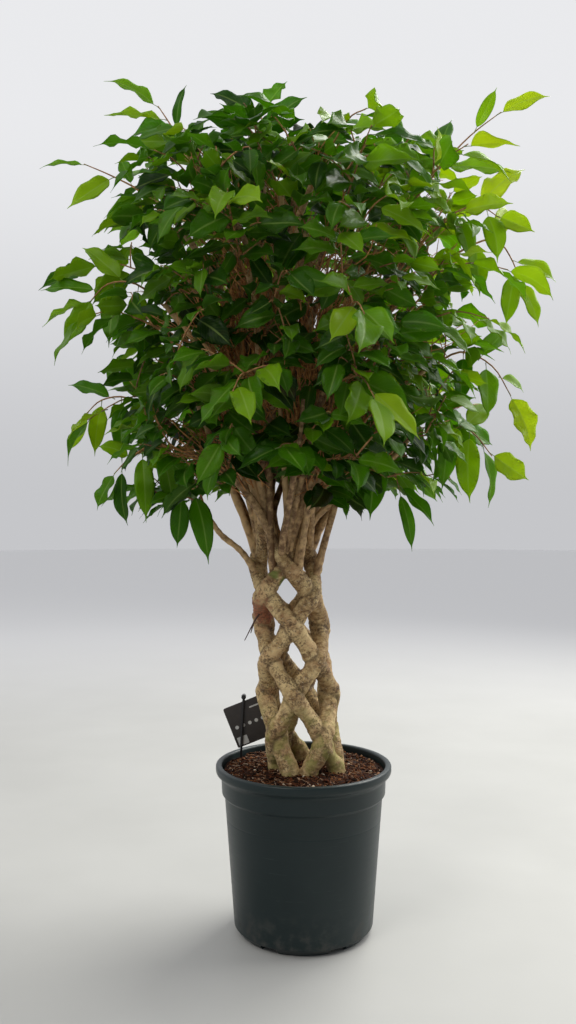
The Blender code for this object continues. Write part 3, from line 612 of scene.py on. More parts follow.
def grow_ring_spray(rng, crowd, name, start, heading, end):
    """A spray with leaves by turns on both sides of an arching twig."""
    twig, shape = ring_twig(rng, crowd, start, heading, end)
    leaves = grow_leaves(rng, crowd, twig, LEAVES_PER_SPRAY, FIRST_LEAF_AT)
    crowd.append(shape)
    return Spray(name, twig, leaves)


def grow_crown(stems):
    """All branches and sprays, none of which touches another but at its own joint."""
    sketched = shoot_starts()
    aims = ring_aims()
    branches = branch_paths(stems, sketched + [(start, heading) for start, heading, _ in aims])
    crowd = Crowd()
    for limb in stems + branches:
        crowd.append(limb_shell(limb.points, limb.radii))
    rng = random.Random(SEED + 2)
    sprays = []
    for shoot, (start, heading) in zip(SHOOTS, sketched):
        sprays.append(grow_shoot(rng, crowd, shoot, start, heading))
    for number, aim in enumerate(aims):
        sprays.append(grow_ring_spray(rng, crowd, f"ring_{number:02d}", *aim))
    return branches, sprays, crowd


# Meshes


class Shape:
    """Points and faces gathered for one mesh, with named values at the points."""

    def __init__(self):
        self.points, self.faces, self.slots = [], [], []
        self.values = defaultdict(list)
        self.count = 0

    def add(self, points, faces, slots=0, **values):
        """slots and values are one number for the whole addition, or one for each face or point."""
        self.points.append(points)
        self.faces += [[self.count + number for number in face] for face in faces]
        self.slots += list(slots) if np.ndim(slots) else [slots] * len(faces)
        for name, value in values.items():
            self.values[name].append(np.broadcast_to(value, len(points)))
        self.count += len(points)

    def mesh(self, name):
        made = bpy.data.meshes.new(name)
        made.from_pydata(np.vstack(self.points).tolist(), [], self.faces)
        made.polygons.foreach_set("material_index", self.slots)
        made.shade_smooth()
        for kind, rows in self.values.items():
            write_value(made, kind, np.concatenate(rows))
        return made


def write_value(mesh, name, values):
    """Keep one number, or one vector, at each point of a mesh for its material to read."""
    values = np.asarray(values, dtype=np.float32)
    kind, field = ("FLOAT", "value") if values.ndim == 1 else ("FLOAT_VECTOR", "vector")
    mesh.attributes.new(name, kind, "POINT").data.foreach_set(field, values.ravel())


def read_vectors(rows, field):
    values = np.empty(3 * len(rows), dtype=np.float32)
    rows.foreach_get(field, values)
    return values.reshape(-1, 3).astype(float)


def link(name, data):
    made = bpy.data.objects.new(name, data)
    bpy.context.scene.collection.objects.link(made)
    return made


def show(mesh, looks, slot, *nodes):
    """Make a mesh a piece of the plant that takes the place of some of the solids."""
    piece = link(mesh.name, mesh)
    if mesh.materials:
        mesh.materials.clear()
    for look in looks:
        mesh.materials.append(look)
    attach(piece, "root")
    if nodes:
        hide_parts(*nodes)


def evaluated_mesh(name, mesh, *modifiers):
    """A mesh as modifiers leave it. Each modifier is a kind and its settings."""
    holder = link("holder", mesh)
    for kind, settings in modifiers:
        modifier = holder.modifiers.new(kind.lower(), kind)
        for field, value in settings.items():
            setattr(modifier, field, value)
    bpy.context.view_layer.update()
    made = bpy.data.meshes.new_from_object(holder.evaluated_get(bpy.context.evaluated_depsgraph_get()))
    made.name = name
    made.shade_smooth()
    bpy.data.objects.remove(holder)
    return made


def mesh_of(name, form):
    """The mesh of a bmesh, which is freed."""
    mesh = bpy.data.meshes.new(name)
    form.to_mesh(mesh)
    form.free()
    return mesh


def smooth(points, radii, steps):
    """A finer line through the same points, with radii that change smoothly."""
    rows = np.array([(*point, radius) for point, radius in zip(points, radii)])
    padded = np.vstack([2 * rows[0] - rows[1], rows, 2 * rows[-1] - rows[-2]])
    t = np.arange(steps)[:, None] / steps
    spans = [b + 0.5 * t * (c - a + t * (2 * a - 5 * b + 4 * c - d + t * (3 * (b - c) + d - a)))
             for a, b, c, d in zip(padded, padded[1:], padded[2:], padded[3:])]
    line = np.vstack([*spans, rows[-1:]])
    return line[:, :3], line[:, 3]


def directions(line):
    ahead = np.gradient(line, axis=0)
    return ahead / np.linalg.norm(ahead, axis=1)[:, None]


def tube(line, radii, sides):
    """Points and faces of a closed tube along a line."""
    line = np.array([tuple(point) for point in line])
    angles = math.tau * np.arange(sides)[:, None] / sides
    side = np.array((0.31, 0.52, 0.79))
    rings = []
    for point, ahead, radius in zip(line, directions(line), radii):
        side = side - ahead * side.dot(ahead)
        side /= np.linalg.norm(side)
        rings.append(point + radius * (np.cos(angles) * side + np.sin(angles) * np.cross(ahead, side)))
    return np.vstack(rings), tube_faces(len(rings), sides)


def tube_faces(rings, sides):
    faces = [list(range(sides))[::-1], list(range((rings - 1) * sides, rings * sides))]
    for first in range(0, (rings - 1) * sides, sides):
        for corner in range(sides):
            after = (corner + 1) % sides
            faces.append([first + corner, first + after, first + sides + after, first + sides + corner])
    return faces


# Materials: colours are linear red, green and blue, and ramps are pairs of a place and a colour

# The greens' dark ends give inner leaves painted shade, and their light ends give outer, upper and right-hand
# leaves painted light, through each leaf's tone
TOP_GREENS = (
    (0.00, (0.11, 0.045, 0.010)), (0.05, (0.007, 0.031, 0.002)), (0.28, (0.020, 0.080, 0.002)),
    (0.50, (0.070, 0.195, 0.004)), (0.72, (0.185, 0.350, 0.006)), (1.00, (0.420, 0.570, 0.020)))
UNDER_GREENS = (
    (0.00, (0.17, 0.085, 0.02)), (0.05, (0.024, 0.060, 0.008)), (0.35, (0.060, 0.140, 0.014)),
    (0.65, (0.150, 0.270, 0.020)), (1.00, (0.330, 0.460, 0.040)))
THROUGH_GREENS = (
    (0.00, (0.10, 0.05, 0.005)), (0.10, (0.08, 0.24, 0.002)), (0.45, (0.32, 0.62, 0.003)),
    (0.80, (0.68, 0.86, 0.010)), (1.00, (0.80, 0.90, 0.040)))
THROUGH_SHARE = 0.46
RIB_GREEN = (0.32, 0.46, 0.10)
VEIN_PAIRS, VEIN_SLANT, VEIN_SHARE = 11.0, -0.30, 0.11
STALK_GREENS = ((0.35, (0.10, 0.16, 0.03)), (0.65, (0.22, 0.27, 0.06)))
TWIG_BROWNS = ((0.22, 0.088, 0.026), (0.48, 0.25, 0.09))
DRY_BROWNS = ((0.32, 0.105, 0.027), (0.70, 0.35, 0.11))
BRANCH_BROWNS = ((0.14, 0.070, 0.026), (0.58, 0.38, 0.18))
ROOT_BROWNS = ((0.030, 0.014, 0.010), (0.090, 0.040, 0.026))
BARK_TANS = ((0.35, (0.170, 0.085, 0.030)), (0.44, (0.370, 0.235, 0.098)), (0.57, (0.650, 0.480, 0.235)))
RUST = (0.400, 0.190, 0.085)
BLOTCH = (0.130, 0.066, 0.026)
SPECK = (0.062, 0.030, 0.012)
PORE = (0.52, 0.42, 0.28)
ALGAE = (0.260, 0.250, 0.055)
CREASE_SHADE = (0.050, 0.028, 0.012)
UPPER_BROWN = (0.22, 0.12, 0.055)
WOUND_REDS = ((0.40, (0.110, 0.030, 0.016)), (0.62, (0.420, 0.130, 0.060)))
MOSS_GREEN = (0.110, 0.180, 0.020)
POT_SLATES = ((0.3, (0.0065, 0.0155, 0.0165)), (0.7, (0.010, 0.0215, 0.0225)))
DUST = (0.16, 0.14, 0.12)
SCUFF = (0.10, 0.13, 0.13)
SOIL_BROWNS = (
    (0.14, (0.006, 0.0025, 0.0015)), (0.34, (0.026, 0.008, 0.003)), (0.58, (0.110, 0.030, 0.011)),
    (0.78, (0.26, 0.11, 0.045)), (0.98, (0.68, 0.58, 0.44)))
CARD_BROWNS = ((0.030, 0.024, 0.021), (0.044, 0.036, 0.031))
MARK_GREYS = ((0.50, 0.50, 0.48), (0.62, 0.62, 0.60))
STAKE_BLACKS = ((0.007, 0.007, 0.008), (0.012, 0.012, 0.013))
FLOOR_GREYS = ((0.3, (0.43, 0.43, 0.415)), (0.7, (0.47, 0.47, 0.455)))
FAR_FLOOR = (0.74, 0.74, 0.745)
SKY = ((0.0, (0.56, 0.565, 0.585)), (1.0, (0.82, 0.825, 0.845)))
NEAR_SKY = (0.27, 0.28, 0.30)


class Nodes:
    """Adds nodes to a tree. An input may be a value, or a socket that is then linked to it."""

    def __init__(self, tree):
        self.tree = tree

    def put(self, value, socket):
        if isinstance(value, bpy.types.NodeSocket):
            self.tree.links.new(value, socket)
        else:
            socket.default_value = value

    def add(self, kind, inputs=(), **settings):
        made = self.tree.nodes.new("ShaderNode" + kind)
        for name, value in settings.items():
            setattr(made, name, value)
        for name, value in dict(inputs).items():
            self.put(value, made.inputs[name])
        return made

    def coordinates(self, scale=(1.0, 1.0, 1.0)):
        source = self.add("TexCoord").outputs["Object"]
        return self.add("Mapping", {"Vector": source, "Scale": scale}).outputs["Vector"]

    def part(self, vector, axis):
        return self.add("SeparateXYZ", {"Vector": vector}).outputs[axis]

    def kept(self, name, output="Fac"):
        """What write_value kept at the points under a name."""
        return self.add("Attribute", attribute_name=name).outputs[output]

    def math(self, operation, *values):
        made = self.add("Math", operation=operation)
        for value, socket in zip(values, made.inputs):
            self.put(value, socket)
        return made.outputs["Value"]

    def times(self, first, second):
        return self.math("MULTIPLY", first, second)

    def scaled(self, value, factor, added):
        return self.math("MULTIPLY_ADD", value, factor, added)

    def step(self, value, low, high, to_low=0.0, to_high=1.0):
        """A value's place between two others, as a smooth step from to_low to to_high."""
        inputs = {"Value": value, "From Min": low, "From Max": high, "To Min": to_low, "To Max": to_high}
        return self.add("MapRange", inputs, interpolation_type="SMOOTHSTEP").outputs["Result"]

    def ramp(self, value, stops):
        made = self.add("ValToRGB", {"Fac": value})
        elements = made.color_ramp.elements
        while len(elements) < len(stops):
            elements.new(0.5)
        for element, (position, colour) in zip(elements, stops):
            element.position = position
            element.color = (*colour, 1.0)
        return made.outputs["Color"]

    def blend(self, share, first, second):
        """A mix of two colours: the first is a socket, and the second may be three numbers."""
        if not isinstance(second, bpy.types.NodeSocket):
            second = (*second, 1.0)
        made = self.add("Mix", data_type="RGBA")
        for name, value in (("Factor", share), ("A", first), ("B", second)):
            self.put(value, next(socket for socket in made.inputs if socket.name == name and socket.enabled))
        return next(socket for socket in made.outputs if socket.enabled)

    def bump(self, height, strength, distance):
        inputs = {"Height": height, "Strength": strength, "Distance": distance}
        return self.add("Bump", inputs).outputs["Normal"]


class Look(Nodes):
    """A material in the making, with constant values set on its shader's own sockets."""

    def __init__(self, name, **numbers):
        self.material = bpy.data.materials.new(name)
        self.material.use_nodes = True
        super().__init__(self.material.node_tree)
        self.shader = self.tree.nodes["Principled BSDF"]
        self.space = self.coordinates()
        self.colour = None
        self.set(**numbers)

    def set(self, **values):
        for name, value in values.items():
            self.put(value, self.shader.inputs[name.replace("_", " ").title().replace("Ior", "IOR")])

    def noise(self, scale, detail=3.0, roughness=0.55, vector=None):
        inputs = {"Vector": vector or self.space, "Scale": scale, "Detail": detail, "Roughness": roughness}
        return self.add("TexNoise", inputs).outputs["Fac"]

    def paint(self, colour, share):
        """Lay a colour over what is there."""
        self.colour = self.blend(share, self.colour, colour)

    def done(self, **sockets):
        self.set(base_color=self.colour, **sockets)
        return self.material


def leaf_look(name, greens, roughness, rib_share, vein_depth):
    """A green blade with a pale midrib and side veins, which lets some light from behind through."""
    look = Look(name, specular_ior_level=0.20)
    across = look.math("ABSOLUTE", look.kept("across"))
    tone = look.scaled(look.noise(26.0, 2.0), 0.16, look.kept("tone"))
    tone = look.math("SUBTRACT", tone, 0.08)
    # The tone carries painted light and painted shade across the crown, which this ramp paints into the blade
    look.colour = look.ramp(tone, greens)
    slant = look.scaled(across, VEIN_SLANT, look.kept("lengthwise"))
    veins = look.step(look.math("SINE", look.times(slant, math.tau * VEIN_PAIRS)), 0.55, 1.0)
    look.paint(RIB_GREEN, look.times(veins, VEIN_SHARE))
    look.paint(RIB_GREEN, look.times(look.step(across, 0.115, 0.035), rib_share))
    gloss = look.scaled(look.noise(90.0), 0.22, roughness - 0.11)
    relief = look.scaled(veins, vein_depth, look.noise(420.0))
    look.done(roughness=gloss, normal=look.bump(relief, 0.25, 0.0004))
    through = look.add("BsdfTranslucent", {"Color": look.ramp(tone, THROUGH_GREENS)})
    mix = look.add("MixShader", {"Fac": THROUGH_SHARE})
    look.put(look.shader.outputs["BSDF"], mix.inputs[1])
    look.put(through.outputs["BSDF"], mix.inputs[2])
    look.put(mix.outputs["Shader"], look.tree.nodes["Material Output"].inputs["Surface"])
    return look.material


def stalk_look():
    look = Look("green_stalk", roughness=0.5)
    look.colour = look.ramp(look.noise(160.0), STALK_GREENS)
    return look.done()


def twig_look(name, browns):
    look = Look(name, roughness=0.7)
    mottle = look.noise(130.0, 4.0)
    shade = look.scaled(look.kept("tone"), 0.40, look.math("SUBTRACT", mottle, 0.12))
    look.colour = look.ramp(shade, tuple(zip((0.34, 0.66), browns)))
    return look.done(normal=look.bump(mottle, 0.6, 0.0008))


def bark_look():
    """Pale tan bark with brown specks, raised bands across the stems, and green algae low down."""
    look = Look("bark")
    grain = look.kept("grain", "Vector")
    knuckle = look.kept("knuckle")
    height = look.part(look.space, "Z")
    broad = look.noise(24.0, 4.0)
    bands = look.noise(1.0, 4.0, 0.6, grain)
    fine = look.noise(330.0, 4.0, 0.65)
    look.colour = look.ramp(look.scaled(bands, 0.5, look.times(broad, 0.5)), BARK_TANS)
    look.paint(RUST, look.times(look.step(look.noise(34.0, 2.0), 0.54, 0.68), 0.35))
    blotches = look.step(look.noise(75.0, 5.0, 0.65), 0.50, 0.62)
    look.paint(BLOTCH, look.times(blotches, look.scaled(knuckle, 0.25, 0.50)))
    crowded = look.scaled(knuckle, 0.03, look.step(look.noise(42.0, 3.0), 0.40, 0.62, -0.07, 0.06))
    dots = look.step(look.math("ADD", fine, crowded), 0.52, 0.64)
    look.paint(SPECK, look.times(dots, 0.72))
    look.paint(PORE, look.times(look.step(look.noise(2.6, 1.0, vector=grain), 0.66, 0.72), 0.6))
    patchy = look.times(look.step(height, 0.40, 0.24), look.step(look.noise(55.0, 3.0), 0.42, 0.62))
    look.paint(ALGAE, look.times(patchy, 0.70))
    # Painted shade in the creases where stems meet
    look.paint(CREASE_SHADE, look.times(look.kept("crease"), 0.75))
    look.paint(UPPER_BROWN, look.times(look.step(height, 0.54, 0.66), 0.30))
    look.paint(look.ramp(fine, WOUND_REDS), look.kept("wound"))
    look.paint(MOSS_GREEN, look.kept("moss"))
    relief = look.scaled(bands, 1.2, fine)
    return look.done(roughness=look.scaled(broad, 0.2, 0.66), normal=look.bump(relief, 0.55, 0.0012))


def pot_look():
    """Satin slate plastic with faint scuffs and a little dust low down."""
    look = Look("pot_plastic", specular_ior_level=0.36)
    look.colour = look.ramp(look.noise(7.0, 3.0), POT_SLATES)
    low = look.step(look.part(look.space, "Z"), 0.07, 0.0)
    dust = look.times(low, look.step(look.noise(60.0, 5.0), 0.45, 0.75))
    look.paint(DUST, look.times(dust, 0.35))
    streaks = look.noise(26.0, 4.0, 0.7, look.coordinates((1.0, 1.0, 22.0)))
    look.paint(SCUFF, look.times(look.step(streaks, 0.60, 0.75), 0.16))
    gloss = look.scaled(streaks, 0.18, look.scaled(dust, 0.3, 0.30))
    relief = look.scaled(look.noise(900.0, 2.0), 0.5, streaks)
    return look.done(roughness=gloss, normal=look.bump(relief, 0.10, 0.0004))


def soil_look(name):
    look = Look(name, specular_ior_level=0.12)
    look.colour = look.ramp(look.scaled(look.noise(500.0, 4.0), 0.35, look.kept("tone")), SOIL_BROWNS)
    return look.done(roughness=look.step(look.noise(220.0), 0.3, 0.7, 0.70, 0.95),
                     normal=look.bump(look.noise(700.0, 4.0), 0.8, 0.0015))


def plastic_look(name, shades, roughness):
    """Smooth plastic or coated card with a faint mottle in its colour and gloss."""
    look = Look(name)
    mottle = look.noise(90.0, 4.0)
    look.colour = look.ramp(mottle, tuple(zip((0.3, 0.7), shades)))
    return look.done(roughness=look.scaled(mottle, 0.2, roughness - 0.1),
                     normal=look.bump(look.noise(800.0), 0.15, 0.0003))


# Leaves

PETIOLE_SHARE = 0.13
STALK_RADII = (0.0009, 0.0006)
STALK_NECK, STALK_ARCH, STALK_REACH = 0.8, 0.65, 0.02
BLADE_THICKNESS = 0.00035
RIB_DEPTH = 0.0005
RIB_SINK = 0.4
FOLD_ROUNDING = 0.0012
FINE_TWIG = {"steps": 4, "sides": 6, "slot": 3}
FILL_TWIG = {"steps": 2, "sides": 4, "slot": 3}

# How far a blade ripples, in how many waves, sways, twists and droops at its tip, and what its fold gains
RIPPLES = (0.05, 0.19)
WAVES = (1.2, 2.6)
SWAY = 0.05
TWIST, TWIST_FROM = 0.7, 0.35
TIP_DROOP = 0.05
FOLD_GAINS = (0.8, 1.7)

# How light a leaf is: at least, outward and upward as painted light, with painted shade left on the inner
# leaves, towards the brighter right as painted light from behind, and by chance
TONE_AT_LEAST, PAINTED_LIGHT_OUTWARD, PAINTED_LIGHT_UPWARD, PAINTED_LIGHT_RIGHT, TONE_SLACK = 0.15, 0.36, 0.08, 0.36, 0.13
PAINTED_LIGHT_REACH, PAINTED_LIGHT_RIGHT_REACH, PAINTED_LIGHT_RIGHT_FOOT = 0.33, 0.35, 0.50
TONE_RANGE = (0.06, 0.98)
TWIG_TONE = 0.3

# Places along a blade and its half width there, and places across it, for near and for filling leaves
FINE_EDGE = ((0.00, 0.05), (0.03, 0.27), (0.08, 0.54), (0.15, 0.78), (0.24, 0.94), (0.34, 1.00),
             (0.44, 1.00), (0.54, 0.95), (0.63, 0.86), (0.71, 0.72), (0.78, 0.54), (0.83, 0.35),
             (0.87, 0.18), (0.905, 0.085), (0.95, 0.045), (1.00, 0.012))
FINE_ACROSS = (-1.0, -0.72, -0.38, -0.09, 0.0, 0.09, 0.38, 0.72, 1.0)
FILL_EDGE = ((0.00, 0.06), (0.06, 0.46), (0.16, 0.80), (0.30, 0.99), (0.46, 1.00), (0.61, 0.88),
             (0.73, 0.66), (0.81, 0.40), (0.87, 0.15), (0.92, 0.065), (1.00, 0.015))
FILL_ACROSS = (-1.0, -0.52, 0.0, 0.52, 1.0)

# Material slots of the leafy pieces. Their twigs have the fourth
UPPER, UNDER, STALK = range(3)


def sheet_faces(rows, columns):
    """Faces of a closed thin sheet, upper side first, and each one's material slot."""
    below = rows * columns
    upper, lower = [], []
    for i in range(rows - 1):
        for j in range(columns - 1):
            corner = i * columns + j
            quad = [corner, corner + 1, corner + columns + 1, corner + columns]
            upper.append(quad)
            lower.append([below + number for number in quad[::-1]])
    border = [*range(columns), *[i * columns + columns - 1 for i in range(1, rows)],
              *[(rows - 1) * columns + j for j in range(columns - 2, -1, -1)],
              *[i * columns for i in range(rows - 2, 0, -1)]]
    rim = [[first, below + first, below + second, second]
           for first, second in zip(border, [*border[1:], border[0]])]
    return upper + lower + rim, [UPPER] * len(upper) + [UNDER] * (len(lower) + len(rim))


FINE_FACES = sheet_faces(len(FINE_EDGE), len(FINE_ACROSS))
FILL_FACES = sheet_faces(len(FILL_EDGE), len(FILL_ACROSS))


def add_leaf(shape, rng, leaf, tone, fine):
    """A stalk and a thin folded blade with a wavy margin and a drip tip."""
    edge, columns = (FINE_EDGE, FINE_ACROSS) if fine else (FILL_EDGE, FILL_ACROSS)
    faces, slots = FINE_FACES if fine else FILL_FACES
    chord = leaf.tip - leaf.base
    length = chord.length
    ahead = chord / length
    side = ahead.cross(leaf.normal).normalized()
    up = side.cross(ahead)
    share, half = np.array(edge).T[:, :, None]
    u = np.array(columns)[None, :]
    t = PETIOLE_SHARE + (1 - PETIOLE_SHARE) * share
    x = leaf.width / 2 * half * u
    ripple = rng.uniform(*RIPPLES) * leaf.width
    waves = rng.uniform(*WAVES)
    phases = np.where(u < 0, rng.random(), rng.random())
    sway = rng.uniform(-SWAY, SWAY) * length
    twist = rng.uniform(-TWIST, TWIST)
    droop = rng.uniform(0.0, TIP_DROOP) * length
    arch = leaf.bend * length * 4 * t * (1 - t) - droop * np.clip(4 * t - 3, 0, 1) ** 2
    fold = leaf.fold * rng.uniform(*FOLD_GAINS) * (np.sqrt(x * x + FOLD_ROUNDING**2) - FOLD_ROUNDING)
    wave = ripple * half * np.abs(u) ** 1.5 * np.sin(math.tau * (waves * share + phases))
    angle = twist * (share - TWIST_FROM) * half
    z = arch + (fold + wave) * np.cos(angle) + x * np.sin(angle)
    x = x * np.cos(angle) + sway * 4 * share * (1 - share)
    rib = np.where(u == 0, RIB_DEPTH * (1 - share), 0.0)
    grid = np.array(leaf.base) + t[..., None] * np.array(chord) + x[..., None] * np.array(side)
    grid = grid + (z - RIB_SINK * rib)[..., None] * np.array(up)
    lower = grid - (BLADE_THICKNESS + (1 - RIB_SINK) * rib)[..., None] * np.array(up)
    points = np.vstack([grid.reshape(-1, 3), lower.reshape(-1, 3)])
    across, lengthwise = [np.tile(each.ravel(), 2) for each in np.broadcast_arrays(u, share)]
    shape.add(points, faces, slots, tone=tone, across=across, lengthwise=lengthwise)
    middle = leaf.base + chord * PETIOLE_SHARE * 0.5 + up * (arch[0, 0] * STALK_ARCH)
    top = Vector(grid[0, len(columns) // 2]) + chord * STALK_REACH - up * BLADE_THICKNESS
    radii = (STALK_RADII[0], STALK_RADII[1], STALK_RADII[1] * STALK_NECK)
    stalk = tube((leaf.base, middle, top), radii, 4 if fine else 3)
    shape.add(*stalk, STALK, tone=tone, across=0.0, lengthwise=0.0)


def painted_light_tone(rng, leaf, young):
    """How light a leaf is, from 0 for dark and old to 1 for young: painted light outward, upward and towards
    the right, where light comes from behind, and painted shade on inner leaves.
    """
    point = leaf.tip
    reach = math.hypot(point.x - CROWN_CENTRE_X, point.y) / PAINTED_LIGHT_REACH
    high = (point.z - CROWN_LOW) / (CROWN_HIGH - CROWN_LOW)
    right = max(point.x - CROWN_CENTRE_X, 0.0) / PAINTED_LIGHT_RIGHT_REACH
    # Painted light: lighter outward, upward and towards the right, so that inner leaves carry painted shade
    tone = TONE_AT_LEAST + PAINTED_LIGHT_OUTWARD * min(reach, 1.0) ** 2 + PAINTED_LIGHT_UPWARD * high
    tone += PAINTED_LIGHT_RIGHT * right * max(high, PAINTED_LIGHT_RIGHT_FOOT)
    return min(max(tone + rng.gauss(0.0, TONE_SLACK) + young, TONE_RANGE[0]), TONE_RANGE[1])


def add_twig(shape, points, radii, steps, sides, slot=0):
    line, thick = smooth(points, radii, steps)
    shape.add(*tube(line, thick, sides), slot, tone=TWIG_TONE, across=0.0, lengthwise=0.0)


def leafy_mesh(name, rng, sprays, radii, youths, fine):
    """The mesh of some sprays, each with its own share of young leaves."""
    shape = Shape()
    for spray in sprays:
        add_twig(shape, spray.twig, tapered(radii, len(spray.twig)), **(FINE_TWIG if fine else FILL_TWIG))
        young = rng.uniform(*youths)
        for leaf in spray.leaves:
            add_leaf(shape, rng, leaf, painted_light_tone(rng, leaf, young), fine)
    return shape.mesh(name)


# Filled crown

SPRAY_RADII = (0.0019, 0.0007)
SPRAY_YOUTHS = (-0.03, 0.12)

# The leaves' mass: height, with how far it reaches to the left and to the right
CROWN_EDGE = ((0.57, 0.20, 0.17), (0.62, 0.26, 0.24), (0.68, 0.285, 0.28), (0.76, 0.28, 0.29),
              (0.86, 0.30, 0.29), (0.96, 0.31, 0.30), (1.06, 0.30, 0.29), (1.12, 0.27, 0.27),
              (1.17, 0.22, 0.22), (1.21, 0.13, 0.14), (1.235, 0.06, 0.06))

# Its upper and lower outlines in the reference view
TOP_LINE = ((40, 240), (95, 168), (130, 122), (160, 108), (200, 100), (318, 100), (332, 120), (400, 132),
            (440, 118), (480, 120), (530, 190))
FOOT_LINE = ((40, 420), (70, 470), (95, 516), (130, 528), (175, 518), (205, 506), (232, 504), (262, 512),
             (276, 488), (292, 490), (306, 514), (326, 512), (338, 520), (366, 522), (380, 496), (430, 510),
             (470, 504), (520, 440))

# Where filling twigs end: levels, number per metre of radius, turns, depths, and some places of their own
FILL_LEVELS = (0.60, 0.63, 0.66, 0.70, 0.74, 0.78, 0.82, 0.86, 0.90, 0.94, 0.98, 1.02, 1.06, 1.10,
               1.135, 1.17)
FILL_LEVEL_SLACK = 0.02
FILL_PER_METRE = 122
FILL_TURN, FILL_LEVEL_TURN, FILL_TURN_SLACK = 2.4, 1.1, 0.1
FILL_DEPTHS = (0.94, 0.60, 0.80, 0.40, 0.88, 0.70)
FILL_DEPTH_SLACK = (0.92, 1.04)
FILL_INSET = 0.03
APRON = (
    (-0.070, -0.125, 0.640), (-0.052, -0.100, 0.622), (-0.020, -0.130, 0.655), (0.008, -0.118, 0.628),
    (0.022, -0.095, 0.650), (0.052, -0.110, 0.618), (0.075, -0.070, 0.640), (-0.100, -0.060, 0.628),
    (-0.145, -0.050, 0.625), (-0.165, 0.020, 0.615), (-0.120, 0.070, 0.620), (-0.185, -0.060, 0.635),
    (-0.205, 0.010, 0.630), (0.020, 0.010, 1.160), (0.050, 0.045, 1.150), (-0.010, 0.055, 1.165),
    (0.035, -0.035, 1.155), (0.075, 0.000, 1.140), (-0.030, 0.130, 0.630), (0.040, 0.125, 0.625),
    (0.100, 0.060, 0.620), (-0.110, 0.090, 1.060), (-0.180, 0.090, 1.025), (-0.037, 0.100, 1.000),
    (-0.205, 0.080, 0.920), (-0.190, 0.080, 0.880), (0.060, 0.100, 1.085))

# Filling twigs: where they start on branches and sprays, how they rise and arch, and their leaves
WOOD_STEPS, WOOD_FROM = 12, 4
SPRAY_STEPS, SPRAY_UP_TO = 5, 4
DOWNWARD_COST, LEVEL_SPARE = 1.5, 0.01
INNER_FIRST = 0.3
FILL_OUTWARD, FILL_LIFT, FILL_PULL = 0.3, 0.5, 0.35
FILL_ARCH, FILL_ARCH_SLACK = 0.22, 0.01
FILL_POINTS = 5
FILL_RADII = (0.0014, 0.0007)
FILL_YOUTHS = (-0.05, 0.08)
FILL_LEAF_AT = 0.25
FILL_SCALES, FILL_WIDER = (0.56, 0.90), 1.06
LEAVES_AT_LEAST, LEAVES_AT_MOST, LEAVES_ALWAYS, LEAF_SPACING = 4, 9, 3, 0.020
TARGET_SPARE, LEAF_SPARE = -0.015, 0.035
FILL_PIECES = 12

# Bare twigs: where along a branch they start, how much they head along it, outward, up and at random, and
# their length, bend and girth
Bare = namedtuple("Bare", "starts ahead outward up slack lengths bend girth")
UPRIGHT = Bare((0.05, 0.6), 0.7, 0.22, 0.7, 0.30, (0.10, 0.24), 0.05, 1.5)
FORKED = Bare((0.30, 1.0), 1.0, 0.9, 0.3, 0.9, (0.04, 0.13), 0.15, 1.0)
BARE_TWIGS, UPRIGHT_EVERY = 900, 3
BARE_SPARE = -0.035
BARE_RADII, BARE_TIP = (0.0011, 0.0009), 0.0005
FORKS = (0.45, 0.75)
FORK_RADII = (0.0008, 0.0007, 0.0005)
FORK_SHARE, FORK_AT_MOST, FORK_BEND = 0.45, 0.05, 0.003


def edge_radius(azimuth, height):
    """How far the mass of leaves reaches from the crown's axis."""
    heights, left, right = np.array(CROWN_EDGE).T
    share = 0.5 + 0.5 * math.sin(azimuth)
    return float(np.interp(height, heights, left + (right - left) * share))


def is_inside(point, spare):
    """Whether a point lies in the mass of leaves, and between its upper and lower outlines as seen."""
    depth = point.y - EYE.y
    across = MIDDLE[0] + (point.x - EYE.x) * FOCAL / depth
    down = MIDDLE[1] - (point.z - EYE.z) * FOCAL / depth
    if not np.interp(across, *zip(*TOP_LINE)) < down < np.interp(across, *zip(*FOOT_LINE)):
        return False
    return math.hypot(point.x - CROWN_CENTRE_X, point.y) < edge_radius(azimuth_of(point), point.z) + spare


def fill_targets(rng):
    """Where filling twigs should end, the inner ones first."""
    targets = []
    for level, height in enumerate(FILL_LEVELS):
        for index in range(round(edge_radius(0.0, height) * FILL_PER_METRE)):
            z = height + rng.uniform(-FILL_LEVEL_SLACK, FILL_LEVEL_SLACK)
            azimuth = FILL_TURN * index + FILL_LEVEL_TURN * level
            azimuth += rng.uniform(-FILL_TURN_SLACK, FILL_TURN_SLACK)
            depth = FILL_DEPTHS[index % len(FILL_DEPTHS)] * rng.uniform(*FILL_DEPTH_SLACK)
            radius = (edge_radius(azimuth, z) - FILL_INSET) * depth
            targets.append(around(math.degrees(azimuth), radius, z, CROWN_CENTRE_X))
    targets += [Vector(point) for point in APRON]
    targets.sort(key=lambda point: math.hypot(point.x - CROWN_CENTRE_X, point.y) - INNER_FIRST * point.z)
    return [target for target in targets if is_inside(target, TARGET_SPARE)]


def fill_twig(rng, wood, target):
    """A twig to a target from the nearest wood, which had better lie below it."""
    places = np.array(wood)
    offset = places - np.array(target)
    above = np.maximum(offset[:, 2] + LEVEL_SPARE, 0.0)
    start = Vector(places[int((np.linalg.norm(offset, axis=1) + DOWNWARD_COST * above).argmin())])
    reach = (target - start).length
    over = target + Vector((0, 0, FILL_ARCH * reach)) + jitter(rng, FILL_ARCH_SLACK)
    rise = (target - start).normalized() + outward_of(target) * FILL_OUTWARD + Vector((0, 0, FILL_LIFT))
    return bezier(start, start + rise.normalized() * reach * FILL_PULL, over, target, FILL_POINTS)


